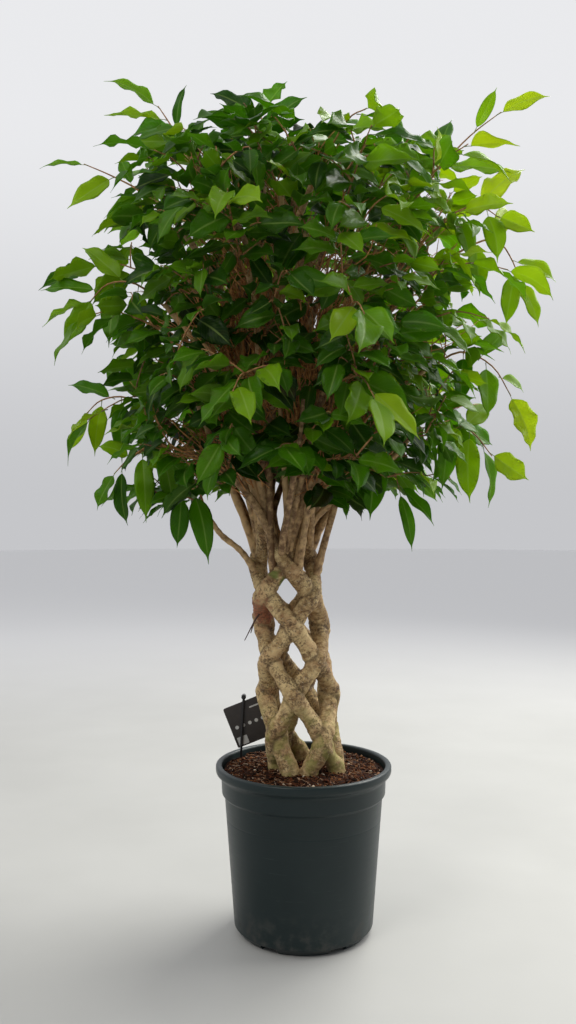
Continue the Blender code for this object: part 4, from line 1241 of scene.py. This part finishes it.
def grow_fill(branches, sprays, crowd):
    """Twigs and leaves that fill the crown, each growing from the nearest wood below it."""
    rng = random.Random(SEED + 5)
    wood = []
    for limb in branches:
        wood += [along(limb.points, share / WOOD_STEPS)[0] for share in range(WOOD_FROM, WOOD_STEPS + 1)]
    for spray in sprays:
        wood += [along(spray.twig, share / SPRAY_STEPS)[0] for share in range(SPRAY_UP_TO)]
    grown = []
    for target in fill_targets(rng):
        twig = fill_twig(rng, wood, target)
        reach = (target - twig[0]).length
        count = max(LEAVES_AT_LEAST, min(LEAVES_AT_MOST, LEAVES_ALWAYS + round(reach / LEAF_SPACING)))
        leaves = grow_leaves(rng, crowd, twig, count, FILL_LEAF_AT, FILL_SCALES)
        leaves = [leaf for leaf in leaves if is_inside(leaf.tip, LEAF_SPARE)]
        if len(leaves) > 2:
            wood += twig[2:]
            grown.append(Spray("fill", twig, leaves))
    return grown


def show_crown(branches, sprays, crowd, looks):
    rng = random.Random(SEED + 6)
    for number, spray in enumerate(sprays):
        mesh = leafy_mesh(f"spray_{number:02d}_fine", rng, [spray], SPRAY_RADII, SPRAY_YOUTHS, True)
        show(mesh, looks, "leaf", f"spray_{number:02d}")
    fill = grow_fill(branches, sprays, crowd)
    fill.sort(key=lambda spray: azimuth_of(spray.twig[-1]))
    for number in range(FILL_PIECES):
        first, last = [len(fill) * edge // FILL_PIECES for edge in (number, number + 1)]
        mesh = leafy_mesh(f"foliage_{number:02d}", rng, fill[first:last], FILL_RADII, FILL_YOUTHS, False)
        show(mesh, looks, "leaf")


def show_dry_twigs(branches, look):
    """Thin bare twigs inside the crown, where few leaves grow: long upright ones, and short forked ones."""
    rng = random.Random(SEED + 7)
    shape = Shape()
    for number in range(BARE_TWIGS):
        limb = branches[number % len(branches)]
        bare = FORKED if number % UPRIGHT_EVERY else UPRIGHT
        start, ahead = along(limb.points, rng.uniform(*bare.starts))
        aim = ahead * bare.ahead + outward_of(start) * bare.outward + jitter(rng, bare.slack)
        aim = (aim + Vector((0, 0, bare.up))).normalized()
        length = rng.uniform(*bare.lengths)
        end = start + aim * length
        if limb.points[-1].z < LOW_TIP or not is_inside(start, 0.0) or not is_inside(end, BARE_SPARE):
            continue
        middle = start.lerp(end, 0.5) + jitter(rng, bare.bend * length)
        radii = (BARE_RADII[0] * bare.girth, BARE_RADII[1] * bare.girth, BARE_TIP)
        add_twig(shape, (start, middle, end), radii, steps=3, sides=4)
        for share in FORKS:
            fork = start.lerp(end, share)
            way = (aim + jitter(rng, 1.0)).normalized()
            tip = fork + way * min(length * FORK_SHARE, FORK_AT_MOST)
            middle = fork.lerp(tip, 0.5) + jitter(rng, FORK_BEND)
            add_twig(shape, (fork, middle, tip), FORK_RADII, steps=2, sides=3)
    show(shape.mesh("dry_twigs"), [look], "bark")


# Trunk and branches

TRUNK_VOXELS = {"mode": "VOXEL", "voxel_size": 0.00225}
TRUNK_SMOOTHING = {"factor": 0.5, "iterations": 7}
TRUNK_SIDES, TRUNK_STEPS = 14, 6
SWELL = 0.0009

# Stems above the weave: how far their tips go on, their radius there, and how slim they are at each height
TIP_REACH, TIP_RADIUS = 0.05, 0.0055
TOP_TAPER = ((0.510, 1.0), (0.540, 0.78), (0.575, 0.56), (0.62, 0.44), (0.68, 0.34))
WOBBLE, WOBBLE_SCALE, GIRTH_CHANGE = 0.0016, 30.0, 0.13
STEM_OFFSET, GIRTH_OFFSET = 17.0, Vector((5, 5, 5))

# Bark relief: height and fineness of lumps, of bands across a stem and of pits, then knuckles and creases
LUMPS, RIDGES, PITS = (0.0020, 45.0), (0.0013, 230.0), (0.0005, 300.0)
RIDGE_SHARES = (0.35, 1.2)
RIDGE_OFFSET = 31.0
KNUCKLE, KNUCKLE_REACH = 0.0015, 0.014
CREASE, CREASE_REACH = 0.0016, 0.0045
GRAIN_SCALE = (1.4, 1.4, 1.0)
POINTS_AT_ONCE = 8000

# Spots on the bark: centre and radius, relief, how strongly they colour it, and how ragged their edge is
WOUND = (Vector((-0.062, -0.024, 0.470)), 0.032)
WOUND_RELIEF, WOUND_SHARE = 0.0012, 0.85
MOSS = (Vector((-0.040, -0.042, 0.516)), 0.013)
MOSS_SHARE = 0.7
PATCH_LEVEL, PATCH_FALL, PATCH_RAGGED, PATCH_SCALE = 2.4, 2.6, 1.6, 110.0

# Slim upright branches, and the smoothness, girths and tones of these and the main ones
RISERS, RISER_POINTS = 26, 6
RISER_FEET, RISER_TIPS, RISER_CENTRE_X = (0.500, 0.580), (0.72, 0.88), -0.027
RISER_FOOT_RADIUS, RISER_TIP_REACH = 0.041, (0.06, 0.18)
RISER_SLACK, RISER_TURN = 0.3, 48
RISER_RADII = (0.0060, 0.0026)
RISER_LIFT, RISER_TIP_LIFT = Vector((0, 0, 0.06)), 1.2
RISER_PULLS = (0.014, 0.012)
LIMB_SIDES = 8
BRANCH_FINISH = (7, (0.9, 1.12), (0.0, 0.7))
RISER_FINISH = (5, (0.88, 1.14), (0.0, 0.8))

# Thin roots that hang from the wound
ROOT_START = ((-0.062, -0.024, 0.464), (-0.071, -0.034, 0.452))
ROOT_ENDS = ((-0.085, -0.036, 0.425), (-0.076, -0.040, 0.436))
ROOT_RADII = (0.0017, 0.0012, 0.0006)


def stem_lines(stems):
    lines = []
    for stem in stems:
        end = stem.points[-1] + (stem.points[-1] - stem.points[-2]).normalized() * TIP_REACH
        radii = [radius + SWELL for radius in stem.radii] + [TIP_RADIUS]
        slim = [np.interp(point.z, *zip(*TOP_TAPER)) for point in [*stem.points, end]]
        radii = [radius * share for radius, share in zip(radii, slim)]
        line, radii = smooth([*stem.points, end], radii, TRUNK_STEPS)
        for index, point in enumerate(line):
            place = Vector(point) * WOBBLE_SCALE + Vector((STEM_OFFSET * len(lines), 0, 0))
            line[index] += WOBBLE * np.array(noise.noise_vector(place))
            radii[index] *= 1 + GIRTH_CHANGE * noise.noise(place + GIRTH_OFFSET)
        lines.append((line, radii))
    return lines


def nearest_on(line, points):
    """The index of the line's point that each point lies nearest to, and the distance."""
    which, gaps = [], []
    for first in range(0, len(points), POINTS_AT_ONCE):
        part = points[first:first + POINTS_AT_ONCE, None, :] - line[None, :, :]
        distance = np.linalg.norm(part, axis=2)
        which.append(distance.argmin(axis=1))
        gaps.append(distance.min(axis=1))
    return np.concatenate(which), np.concatenate(gaps)


def grain_of(points, lines):
    """Where points lie along and round their own stem, and how far the next stem is."""
    nearest = np.full(len(points), np.inf)
    second = np.full(len(points), np.inf)
    grain = np.zeros((len(points), 3))
    for number, (line, radii) in enumerate(lines):
        lengths = np.concatenate([[0.0], np.cumsum(np.linalg.norm(np.diff(line, axis=0), axis=1))])
        which, gaps = nearest_on(line, points)
        gaps -= radii[which]
        ahead = directions(line)[which]
        offset = points - line[which]
        run = lengths[which] + (offset * ahead).sum(axis=1)
        side = np.cross(ahead, (0.0, 0.0, 1.0))
        side /= np.linalg.norm(side, axis=1)[:, None]
        angle = np.arctan2((offset * np.cross(ahead, side)).sum(axis=1), (offset * side).sum(axis=1))
        mine = gaps < nearest
        second = np.where(mine, nearest, np.minimum(second, gaps))
        nearest = np.where(mine, gaps, nearest)
        rows = np.stack([np.cos(angle), np.sin(angle), run * RIDGES[1] + RIDGE_OFFSET * number], axis=1)
        grain[mine] = rows[mine]
    return grain, second


def patch(points, centre, radius):
    """1 at a spot's centre, falling to 0 at its ragged edge."""
    reach = np.linalg.norm(points - np.array(centre), axis=1)
    ragged = np.array([noise.noise(Vector(point) * PATCH_SCALE) for point in points])
    return np.clip(PATCH_LEVEL - PATCH_FALL * reach / radius + PATCH_RAGGED * ragged, 0, 1)


def bark_relief(mesh, lines):
    """Raise bands, lumps and pits on the stems, and keep where each point lies on them."""
    points = read_vectors(mesh.vertices, "co")
    normals = read_vectors(mesh.vertex_normals, "vector")
    grain, second = grain_of(points, lines)
    crease = np.clip(1 - second / CREASE_REACH, 0, 1)
    near = np.clip(1 - second / KNUCKLE_REACH, 0, 1)
    wound = patch(points, *WOUND)
    for index, (point, row) in enumerate(zip(points, grain)):
        lift = LUMPS[0] * noise.noise(Vector(point) * LUMPS[1])
        lift += RIDGES[0] * noise.noise(Vector(row)) * (RIDGE_SHARES[0] + RIDGE_SHARES[1] * near[index])
        lift += (PITS[0] + WOUND_RELIEF * wound[index]) * noise.noise(Vector(point) * PITS[1])
        lift += KNUCKLE * near[index] - CREASE * crease[index] + WOUND_RELIEF * wound[index]
        points[index] += normals[index] * lift
    mesh.vertices.foreach_set("co", points.astype(np.float32).ravel())
    write_value(mesh, "grain", grain * GRAIN_SCALE)
    # The crease mask paints shade into the bark where stems meet
    write_value(mesh, "crease", crease**2)
    write_value(mesh, "knuckle", near)
    write_value(mesh, "wound", wound * WOUND_SHARE)
    write_value(mesh, "moss", patch(points, *MOSS) * MOSS_SHARE)
    mesh.update()


def riser_paths(stems):
    """Slim upright branches that grow between the main ones from the top of the weave."""
    rng = random.Random(SEED + 10)
    risers = []
    for number in range(RISERS):
        azimuth = 360 * (number + rng.uniform(-RISER_SLACK, RISER_SLACK)) / RISERS
        foot = around(azimuth, RISER_FOOT_RADIUS, rng.uniform(*RISER_FEET), RISER_CENTRE_X)
        stem, share = nearest_spot(stems, foot)
        base = along(stem.points, share)[0]
        azimuth += rng.uniform(-RISER_TURN, RISER_TURN)
        tip = around(azimuth, rng.uniform(*RISER_TIP_REACH), rng.uniform(*RISER_TIPS), CROWN_CENTRE_X)
        outward = outward_of(tip)
        points = bezier(base, base + RISER_LIFT + outward * RISER_PULLS[0],
                        tip - RISER_LIFT * RISER_TIP_LIFT - outward * RISER_PULLS[1], tip, RISER_POINTS)
        risers.append(Limb(f"riser_{number:02d}", points, tapered(RISER_RADII, RISER_POINTS)))
    return risers


def limbs_mesh(name, rng, limbs, steps, girths, tones):
    """Tubes along limbs, each with its own tone and with a girth that changes along it."""
    shape = Shape()
    for limb in limbs:
        line, radii = smooth(limb.points, limb.radii, steps)
        radii = radii * np.array([rng.uniform(*girths) for _ in radii])
        shape.add(*tube(line, radii, LIMB_SIDES), tone=rng.uniform(*tones))
    return shape.mesh(name)


def show_trunk(stems, branches, look, branch_look):
    lines = stem_lines(stems)
    shape = Shape()
    for line, radii in lines:
        shape.add(*tube(line, radii, TRUNK_SIDES))
    mesh = evaluated_mesh("trunk_weave", shape.mesh("woven_stems"), ("REMESH", TRUNK_VOXELS),
                          ("SMOOTH", TRUNK_SMOOTHING))
    bark_relief(mesh, lines)
    show(mesh, [look], "bark", "trunk")
    rng = random.Random(SEED + 8)
    show(limbs_mesh("branches", rng, branches, *BRANCH_FINISH), [branch_look], "bark", "trunk")
    show(limbs_mesh("risers", rng, riser_paths(stems), *RISER_FINISH), [branch_look], "bark")


def show_root(look):
    """Thin dark roots that hang from the sealed wound."""
    shape = Shape()
    for end in ROOT_ENDS:
        add_twig(shape, [Vector(spot) for spot in (*ROOT_START, end)], ROOT_RADII, steps=5, sides=6)
    show(shape.mesh("aerial_root"), [look], "bark")


# Pot and soil

FINE_STEPS = 144
CORNER, CORNER_STEPS, CORNER_SHARE, LIP_ROUNDING = 0.0011, 4, 0.45, 3
GROOVE_HEIGHT, GROOVE_HALF, GROOVE_DEPTH, GROOVE_SWELL = 0.165, 0.0012, 0.0004, 0.0001
NOTCH_BEVEL = 0.0012
POT_SHARP = 50
SOIL_GRID = (30, 96)
SOIL_TONE = 0.12
SOIL_BUMPS = ((0.3, 38.0, 0.0024), (0.7, 120.0, 0.0014))

# Crumbs: how far out they lie, their sizes, stretches and dents, and which of them are pale
CRUMBS, CRUMB_REACH = 4200, 0.975
CRUMB_SIZES, SIZE_POWER = (0.0006, 0.0029), 3.5
LARGE_CRUMB = 0.0020
CRUMB_STRETCHES = ((0.6, 1.7), (0.5, 1.1), (0.35, 0.8))
DENTS, DENT_SCALE = 0.35, 1.7
CRUMB_TILT = 1.5
CRUMB_RISE = 0.25
PALE_SHARE, PALE_AT_MOST, PALE_TONES = 0.06, 0.0022, (0.74, 0.95)
DARK_POWER, DARK_TONE = 1.6, 0.66

# Fibres: how far out they start and end, their lengths, turns, rise, radius and tones
FIBRES, FIBRE_REACH, FIBRE_EDGE = 500, 0.93, 0.97
FIBRE_LENGTHS, FIBRE_POINTS = (0.006, 0.020), 5
FIBRE_TURN, FIBRE_RISE, FIBRE_RISE_SLACK = 0.5, 0.0008, 0.0016
FIBRE_RADIUS = 0.00035
FIBRE_TONES = (0.35, 0.70)


def rounded(profile, radius):
    """A profile with each of its corners turned into a short curve."""
    points = [Vector(point) for point in profile]
    made = [points[0]]
    for before, corner, after in zip(points, points[1:], points[2:]):
        wide = LIP_ROUNDING * radius if corner.y > POT_HEIGHT - LIP_DROP - GAP else radius
        reach = min(wide, (before - corner).length * CORNER_SHARE, (after - corner).length * CORNER_SHARE)
        first = corner + (before - corner).normalized() * reach
        last = corner + (after - corner).normalized() * reach
        for step in range(CORNER_STEPS + 1):
            t = step / CORNER_STEPS
            made.append(first * (1 - t) ** 2 + corner * 2 * t * (1 - t) + last * t * t)
    return [*made, points[-1]]


def turned(profile, steps):
    """Points and faces of a profile turned about the Z axis, from the axis and back to it."""
    first, *ring, last = profile
    angles = math.tau * np.arange(steps) / steps
    rows = [np.stack([radius * np.cos(angles), radius * np.sin(angles), np.full(steps, height)], axis=1)
            for radius, height in ring]
    points = np.vstack([*rows, [(0.0, 0.0, first[1]), (0.0, 0.0, last[1])]])
    faces = []
    for corner in range(steps):
        after = (corner + 1) % steps
        faces.append([len(points) - 2, corner, after])
        end = (len(ring) - 1) * steps
        faces.append([len(points) - 1, end + after, end + corner])
        for row in range(0, end, steps):
            faces.append([row + corner, row + steps + corner, row + steps + after, row + after])
    return points, faces


def pot_profile():
    """The pot's section as (radius, height): up its inside, over the lip, and down its outside."""
    climb = (GROOVE_HEIGHT - LEDGE_HEIGHT) / (COLLAR_FOOT - LEDGE_HEIGHT)
    groove_radius = BODY_FOOT_RADIUS + (BODY_TOP_RADIUS - BODY_FOOT_RADIUS) * climb
    ring_inside = FOOT_RADIUS - FOOT_WIDTH
    return [
        (0.0, BASE_THICKNESS), (FLOOR_RADIUS, BASE_THICKNESS), (BODY_FOOT_RADIUS - WALL, FLOOR_BEND),
        (BODY_TOP_RADIUS - WALL, COLLAR_FOOT), (COLLAR_RADIUS - WALL, COLLAR_FOOT + STEP_HEIGHT),
        (LIP_INNER_RADIUS, POT_HEIGHT), (LIP_RADIUS, POT_HEIGHT), (LIP_RADIUS, POT_HEIGHT - LIP_BAND),
        (COLLAR_RADIUS, POT_HEIGHT - LIP_DROP), (COLLAR_RADIUS - COLLAR_TAPER, COLLAR_FOOT + STEP_HEIGHT),
        (BODY_TOP_RADIUS, COLLAR_FOOT), (groove_radius + GROOVE_SWELL, GROOVE_HEIGHT + GROOVE_HALF),
        (groove_radius - GROOVE_DEPTH, GROOVE_HEIGHT),
        (groove_radius - GROOVE_SWELL, GROOVE_HEIGHT - GROOVE_HALF),
        (BODY_FOOT_RADIUS, LEDGE_HEIGHT), (FOOT_RADIUS, 0.0), (ring_inside, 0.0),
        (ring_inside - FOOT_RECESS, FOOT_RECESS), (HUB_RADIUS + FOOT_RECESS, FOOT_RECESS),
        (HUB_RADIUS, 0.0), (0.0, 0.0)]


def show_pot(look):
    shape = Shape()
    shape.add(*turned([tuple(point) for point in rounded(pot_profile(), CORNER)], FINE_STEPS))
    cutters = bpy.data.collections.new("notch_cutters")
    bpy.context.scene.collection.children.link(cutters)
    for index in range(NOTCHES):
        azimuth = NOTCH_AZIMUTH + 360 * index / NOTCHES
        block = bmesh.new()
        bmesh.ops.create_cube(block, size=1.0)
        place = Matrix.Translation(around(azimuth, FOOT_RADIUS, 0.0))
        turn = Matrix.Rotation(math.radians(azimuth), 4, "Z")
        stretch = Matrix.Diagonal((*NOTCH_SIZE, 1.0))
        bmesh.ops.transform(block, matrix=place @ turn @ stretch, verts=block.verts)
        bmesh.ops.bevel(block, geom=block.edges, offset=NOTCH_BEVEL, segments=2, affect="EDGES")
        mesh = mesh_of(f"notch_{index}", block)
        cutters.objects.link(bpy.data.objects.new(mesh.name, mesh))
    mesh = evaluated_mesh("pot_shell", shape.mesh("turned_pot"), ("BOOLEAN", {
        "operation": "DIFFERENCE", "operand_type": "COLLECTION", "collection": cutters}))
    for cutter in list(cutters.objects):
        bpy.data.objects.remove(cutter)
    bpy.data.collections.remove(cutters)
    mesh.set_sharp_from_angle(angle=math.radians(POT_SHARP))
    show(mesh, [look], "pot_plastic", "pot")


def soil_height(radius):
    share = min(radius / SOIL_RADIUS, 1.0)
    return SOIL_EDGE_HEIGHT + SOIL_CROWN * (1 - share * share)


def soil_surface(x, y):
    rough = sum(noise.noise(Vector((x, y, layer)) * scale) * height for layer, scale, height in SOIL_BUMPS)
    return soil_height(math.hypot(x, y)) + rough


def show_soil(look):
    rings, steps = SOIL_GRID
    radii = [SOIL_RADIUS * math.sqrt(ring / rings) for ring in range(1, rings + 1)]
    profile = [(0.0, soil_height(0.0)), *[(radius, soil_height(radius)) for radius in radii],
               (BODY_TOP_RADIUS - WALL - 2 * GAP, COLLAR_FOOT - GAP),
               (BODY_FOOT_RADIUS - WALL - 2 * GAP, FLOOR_BEND + GAP),
               (FLOOR_RADIUS - GAP, BASE_THICKNESS + GAP), (0.0, BASE_THICKNESS + GAP)]
    points, faces = turned(profile, steps)
    for index in [*range(rings * steps), len(points) - 2]:
        points[index, 2] = soil_surface(points[index, 0], points[index, 1])
    shape = Shape()
    shape.add(points, faces, tone=SOIL_TONE)
    show(shape.mesh("soil_body"), [look], "soil_mix", "soil")


def crumb_forms():
    """Unit lumps: small ones with 20 faces and larger ones with 80."""
    forms = []
    for level in (1, 2):
        ball = bmesh.new()
        bmesh.ops.create_icosphere(ball, subdivisions=level, radius=1.0)
        forms.append((np.array([tuple(vert.co) for vert in ball.verts]),
                      [[vert.index for vert in face.verts] for face in ball.faces]))
        ball.free()
    return forms


def spot_on_soil(rng, reach):
    radius = SOIL_RADIUS * math.sqrt(rng.random()) * reach
    angle = rng.uniform(0, math.tau)
    return radius * math.cos(angle), radius * math.sin(angle)


def add_crumb(shape, rng, forms, number):
    x, y = spot_on_soil(rng, CRUMB_REACH)
    size = CRUMB_SIZES[0] + (CRUMB_SIZES[1] - CRUMB_SIZES[0]) * rng.random() ** SIZE_POWER
    form, faces = forms[1 if size > LARGE_CRUMB else 0]
    stretch = np.array([rng.uniform(*stretches) for stretches in CRUMB_STRETCHES])
    dents = [1 + DENTS * noise.noise(Vector(point) * DENT_SCALE + Vector((number, 0, 0))) for point in form]
    axis_turn = rng.uniform(0, math.tau)
    turn = np.array(Matrix.Rotation(axis_turn, 3, Vector((rng.random(), rng.random(), CRUMB_TILT))))
    points = (form * np.array(dents)[:, None] * stretch * size) @ turn.T
    points += (x, y, soil_surface(x, y) + CRUMB_RISE * size)
    is_pale = rng.random() < PALE_SHARE and size < PALE_AT_MOST
    tone = rng.uniform(*PALE_TONES) if is_pale else rng.random() ** DARK_POWER * DARK_TONE
    shape.add(points, faces, tone=tone)


def add_fibre(shape, rng):
    x, y = spot_on_soil(rng, FIBRE_REACH)
    way = rng.uniform(0, math.tau)
    stride = rng.uniform(*FIBRE_LENGTHS) / (FIBRE_POINTS - 1)
    line = []
    for _ in range(FIBRE_POINTS):
        way += rng.uniform(-FIBRE_TURN, FIBRE_TURN)
        shrink = min(1.0, SOIL_RADIUS * FIBRE_EDGE / math.hypot(x, y))
        height = soil_surface(x, y) + FIBRE_RISE + rng.uniform(0, FIBRE_RISE_SLACK)
        line.append(Vector((x * shrink, y * shrink, height)))
        x, y = x + math.cos(way) * stride, y + math.sin(way) * stride
    points, faces = tube(line, [FIBRE_RADIUS] * FIBRE_POINTS, 3)
    shape.add(points, faces, tone=rng.uniform(*FIBRE_TONES))


def show_crumbs(look):
    """Lumps, bark chips, pale grains and coir fibres that lie on the soil."""
    rng = random.Random(SEED + 9)
    forms = crumb_forms()
    shape = Shape()
    for number in range(CRUMBS):
        add_crumb(shape, rng, forms, number)
    for _ in range(FIBRES):
        add_fibre(shape, rng)
    show(shape.mesh("soil_crumbs"), [look], "soil_mix")


# Label: the card's corners, then its marks as width, height, corner radius and centre

CARD_CORNER = 0.0025
MARKS = ((0.016, 0.013, 0.001, (-0.0205, -0.0235)),
         *[(0.0056, 0.0056, 0.0028, (-0.022 + 0.0105 * number, -0.002)) for number in range(5)],
         (0.015, 0.0022, 0.001, (0.014, 0.020)))
MARK_RISE, MARK_DEPTH = 0.00012, 0.0001
ARC_STEPS = 5
HEAD_ROUNDING, HEAD_TAPER = 0.0006, 0.8
STAKE_SHARP = 45


def flat_piece(name, outline, front, depth, roll):
    """A thin plate: an outline as (across, up) in the card's plane, its front face and its depth."""
    plate = bmesh.new()
    verts = [plate.verts.new((across, front, up)) for across, up in outline]
    face = plate.faces.new(verts)
    grown = bmesh.ops.extrude_face_region(plate, geom=[face])
    moved = [item for item in grown["geom"] if isinstance(item, bmesh.types.BMVert)]
    bmesh.ops.translate(plate, verts=moved, vec=(0.0, depth, 0.0))
    bmesh.ops.recalc_face_normals(plate, faces=plate.faces)
    bmesh.ops.transform(plate, matrix=roll, verts=plate.verts)
    return mesh_of(name, plate)


def rounded_box(width, height, radius, centre=(0.0, 0.0)):
    outline = []
    for number, (x, y) in enumerate(((1, 1), (-1, 1), (-1, -1), (1, -1))):
        for step in range(ARC_STEPS + 1):
            angle = math.radians(90 * number + 90 // ARC_STEPS * step)
            outline.append((centre[0] + x * (width / 2 - radius) + radius * math.cos(angle),
                            centre[1] + y * (height / 2 - radius) + radius * math.sin(angle)))
    return outline


def show_card(card_look, mark_look):
    """A plain card with a bare pale panel, a row of dots and a bar."""
    roll = Matrix.Translation(CARD_CENTRE) @ Matrix.Rotation(-math.radians(CARD_ROLL), 4, "Y")
    front = -CARD_THICKNESS / 2
    outline = rounded_box(CARD_SIZE, CARD_SIZE, CARD_CORNER)
    card = flat_piece("label_card", outline, front, CARD_THICKNESS, roll)
    show(card, [card_look], "label_card", "plant_label")
    marks = bmesh.new()
    for mark in MARKS:
        mesh = flat_piece("mark", rounded_box(*mark), front - MARK_RISE, MARK_DEPTH, roll)
        marks.from_mesh(mesh)
        bpy.data.meshes.remove(mesh)
    show(mesh_of("label_marks", marks), [mark_look], "label_card")


def show_stake(look):
    """A bent stake with a round head, and a small tab that hangs behind it."""
    shape = Shape()
    foot = Vector((STAKE_FOOT[0], STAKE_Y, STAKE_FOOT[1]))
    bend = Vector((STAKE_FOOT[0], STAKE_Y, STAKE_BEND_HEIGHT))
    head = Vector((STAKE_HEAD[0], STAKE_Y, STAKE_HEAD[1]))
    line, radii = smooth((foot, bend, head), [STAKE_RADIUS] * 3, 8)
    shape.add(*tube(line, radii, 14))
    back = head + Vector((0, HOOK_REACH, 0))
    front = head - Vector((0, STAKE_HEAD_RADIUS, 0))
    rounding = Vector((0, HEAD_ROUNDING, 0))
    radii = [STAKE_HEAD_RADIUS * share for share in (HEAD_TAPER, 1, 1, HEAD_TAPER)]
    shape.add(*tube([front, front + rounding, back - rounding, back], radii, 16))
    top = back - Vector((0, STAKE_RADIUS, 0))
    shape.add(*tube([top, top + TAB_DROP * 0.5, top + TAB_DROP], [TAB_RADIUS] * 3, 10))
    mesh = shape.mesh("stake")
    mesh.set_sharp_from_angle(angle=math.radians(STAKE_SHARP))
    show(mesh, [look], "stake_plastic", "label_stake")


# Stage, light and camera

FLOOR_REACH, FLOOR_SIDES = 14.0, 64
FLOOR_FADE = (0.9, 3.6)
SKY_RISE, SKY_TURN = (0.0, 0.40), (0.3, -0.9)
SENSOR = 36.0

# Lamps: place, aim, size, power, colour
LAMPS = {
    "key": ((-1.5, -1.9, 2.7), (0.0, 0.0, 0.75), (1.1, 1.1), 30.0, (1.0, 0.97, 0.91)),
    "side": ((1.9, 0.5, 1.7), (0.0, 0.0, 0.8), (1.2, 1.6), 26.0, (1.0, 0.99, 0.96)),
    "back": ((1.1, 1.4, 2.4), (0.08, 0.0, 0.95), (1.4, 1.4), 62.0, (1.0, 0.99, 0.93)),
}


def make_stage():
    shape = Shape()
    angles = [math.tau * step / FLOOR_SIDES for step in range(FLOOR_SIDES)]
    rim = [(FLOOR_REACH * math.cos(angle), FLOOR_REACH * math.sin(angle), 0.0) for angle in angles]
    shape.add(np.array(rim), [list(range(FLOOR_SIDES))])
    floor = link("floor", shape.mesh("floor"))
    look = Look("pale_floor", roughness=0.6)
    away = look.add("VectorMath", {"Vector": look.space}, operation="LENGTH").outputs["Value"]
    look.colour = look.ramp(look.noise(3.0), FLOOR_GREYS)
    look.paint(FAR_FLOOR, look.step(away, *FLOOR_FADE))
    floor.data.materials.append(look.done())


def make_light():
    world = bpy.data.worlds.new("studio")
    bpy.context.scene.world = world
    world.use_nodes = True
    sky = Nodes(world.node_tree)
    way = sky.add("TexCoord").outputs["Generated"]
    far = sky.ramp(sky.step(sky.part(way, "Z"), *SKY_RISE), SKY)
    colour = sky.blend(sky.step(sky.part(way, "Y"), *SKY_TURN), far, NEAR_SKY)
    sky.put(colour, sky.tree.nodes["Background"].inputs["Color"])
    bpy.context.scene.view_settings.view_transform = "Standard"
    for name, (place, aim, size, power, tint) in LAMPS.items():
        lamp = bpy.data.lights.new(name, "AREA")
        lamp.shape = "RECTANGLE"
        lamp.size, lamp.size_y = size
        lamp.energy = power
        lamp.color = tint
        holder = link(name, lamp)
        holder.location = place
        holder.rotation_euler = (Vector(aim) - Vector(place)).to_track_quat("-Z", "Y").to_euler()


def make_camera():
    camera = bpy.data.cameras.new("camera")
    camera.sensor_width = SENSOR
    camera.lens = SENSOR * FOCAL / (2 * MIDDLE[1])
    holder = link("camera", camera)
    holder.location = EYE
    holder.rotation_euler = (math.radians(90), 0.0, 0.0)
    bpy.context.scene.camera = holder


def main():
    make_camera()
    make_light()
    make_stage()
    stems = stem_paths()
    branches, sprays, crowd = grow_crown(stems)
    leaf_looks = [leaf_look("leaf_upper", TOP_GREENS, 0.38, 0.56, 0.8),
                  leaf_look("leaf_under", UNDER_GREENS, 0.55, 0.70, 1.4),
                  stalk_look(), twig_look("twig_bark", TWIG_BROWNS)]
    show_crown(branches, sprays, crowd, leaf_looks)
    show_dry_twigs(branches, twig_look("dry_twig_bark", DRY_BROWNS))
    show_trunk(stems, branches, bark_look(), twig_look("branch_bark", BRANCH_BROWNS))
    show_root(twig_look("root_bark", ROOT_BROWNS))
    show_pot(pot_look())
    show_soil(soil_look("soil_mix"))
    show_crumbs(soil_look("soil_crumb"))
    show_card(plastic_look("label_card", CARD_BROWNS, 0.42), plastic_look("label_mark", MARK_GREYS, 0.5))
    show_stake(plastic_look("stake_plastic", STAKE_BLACKS, 0.38))


main()
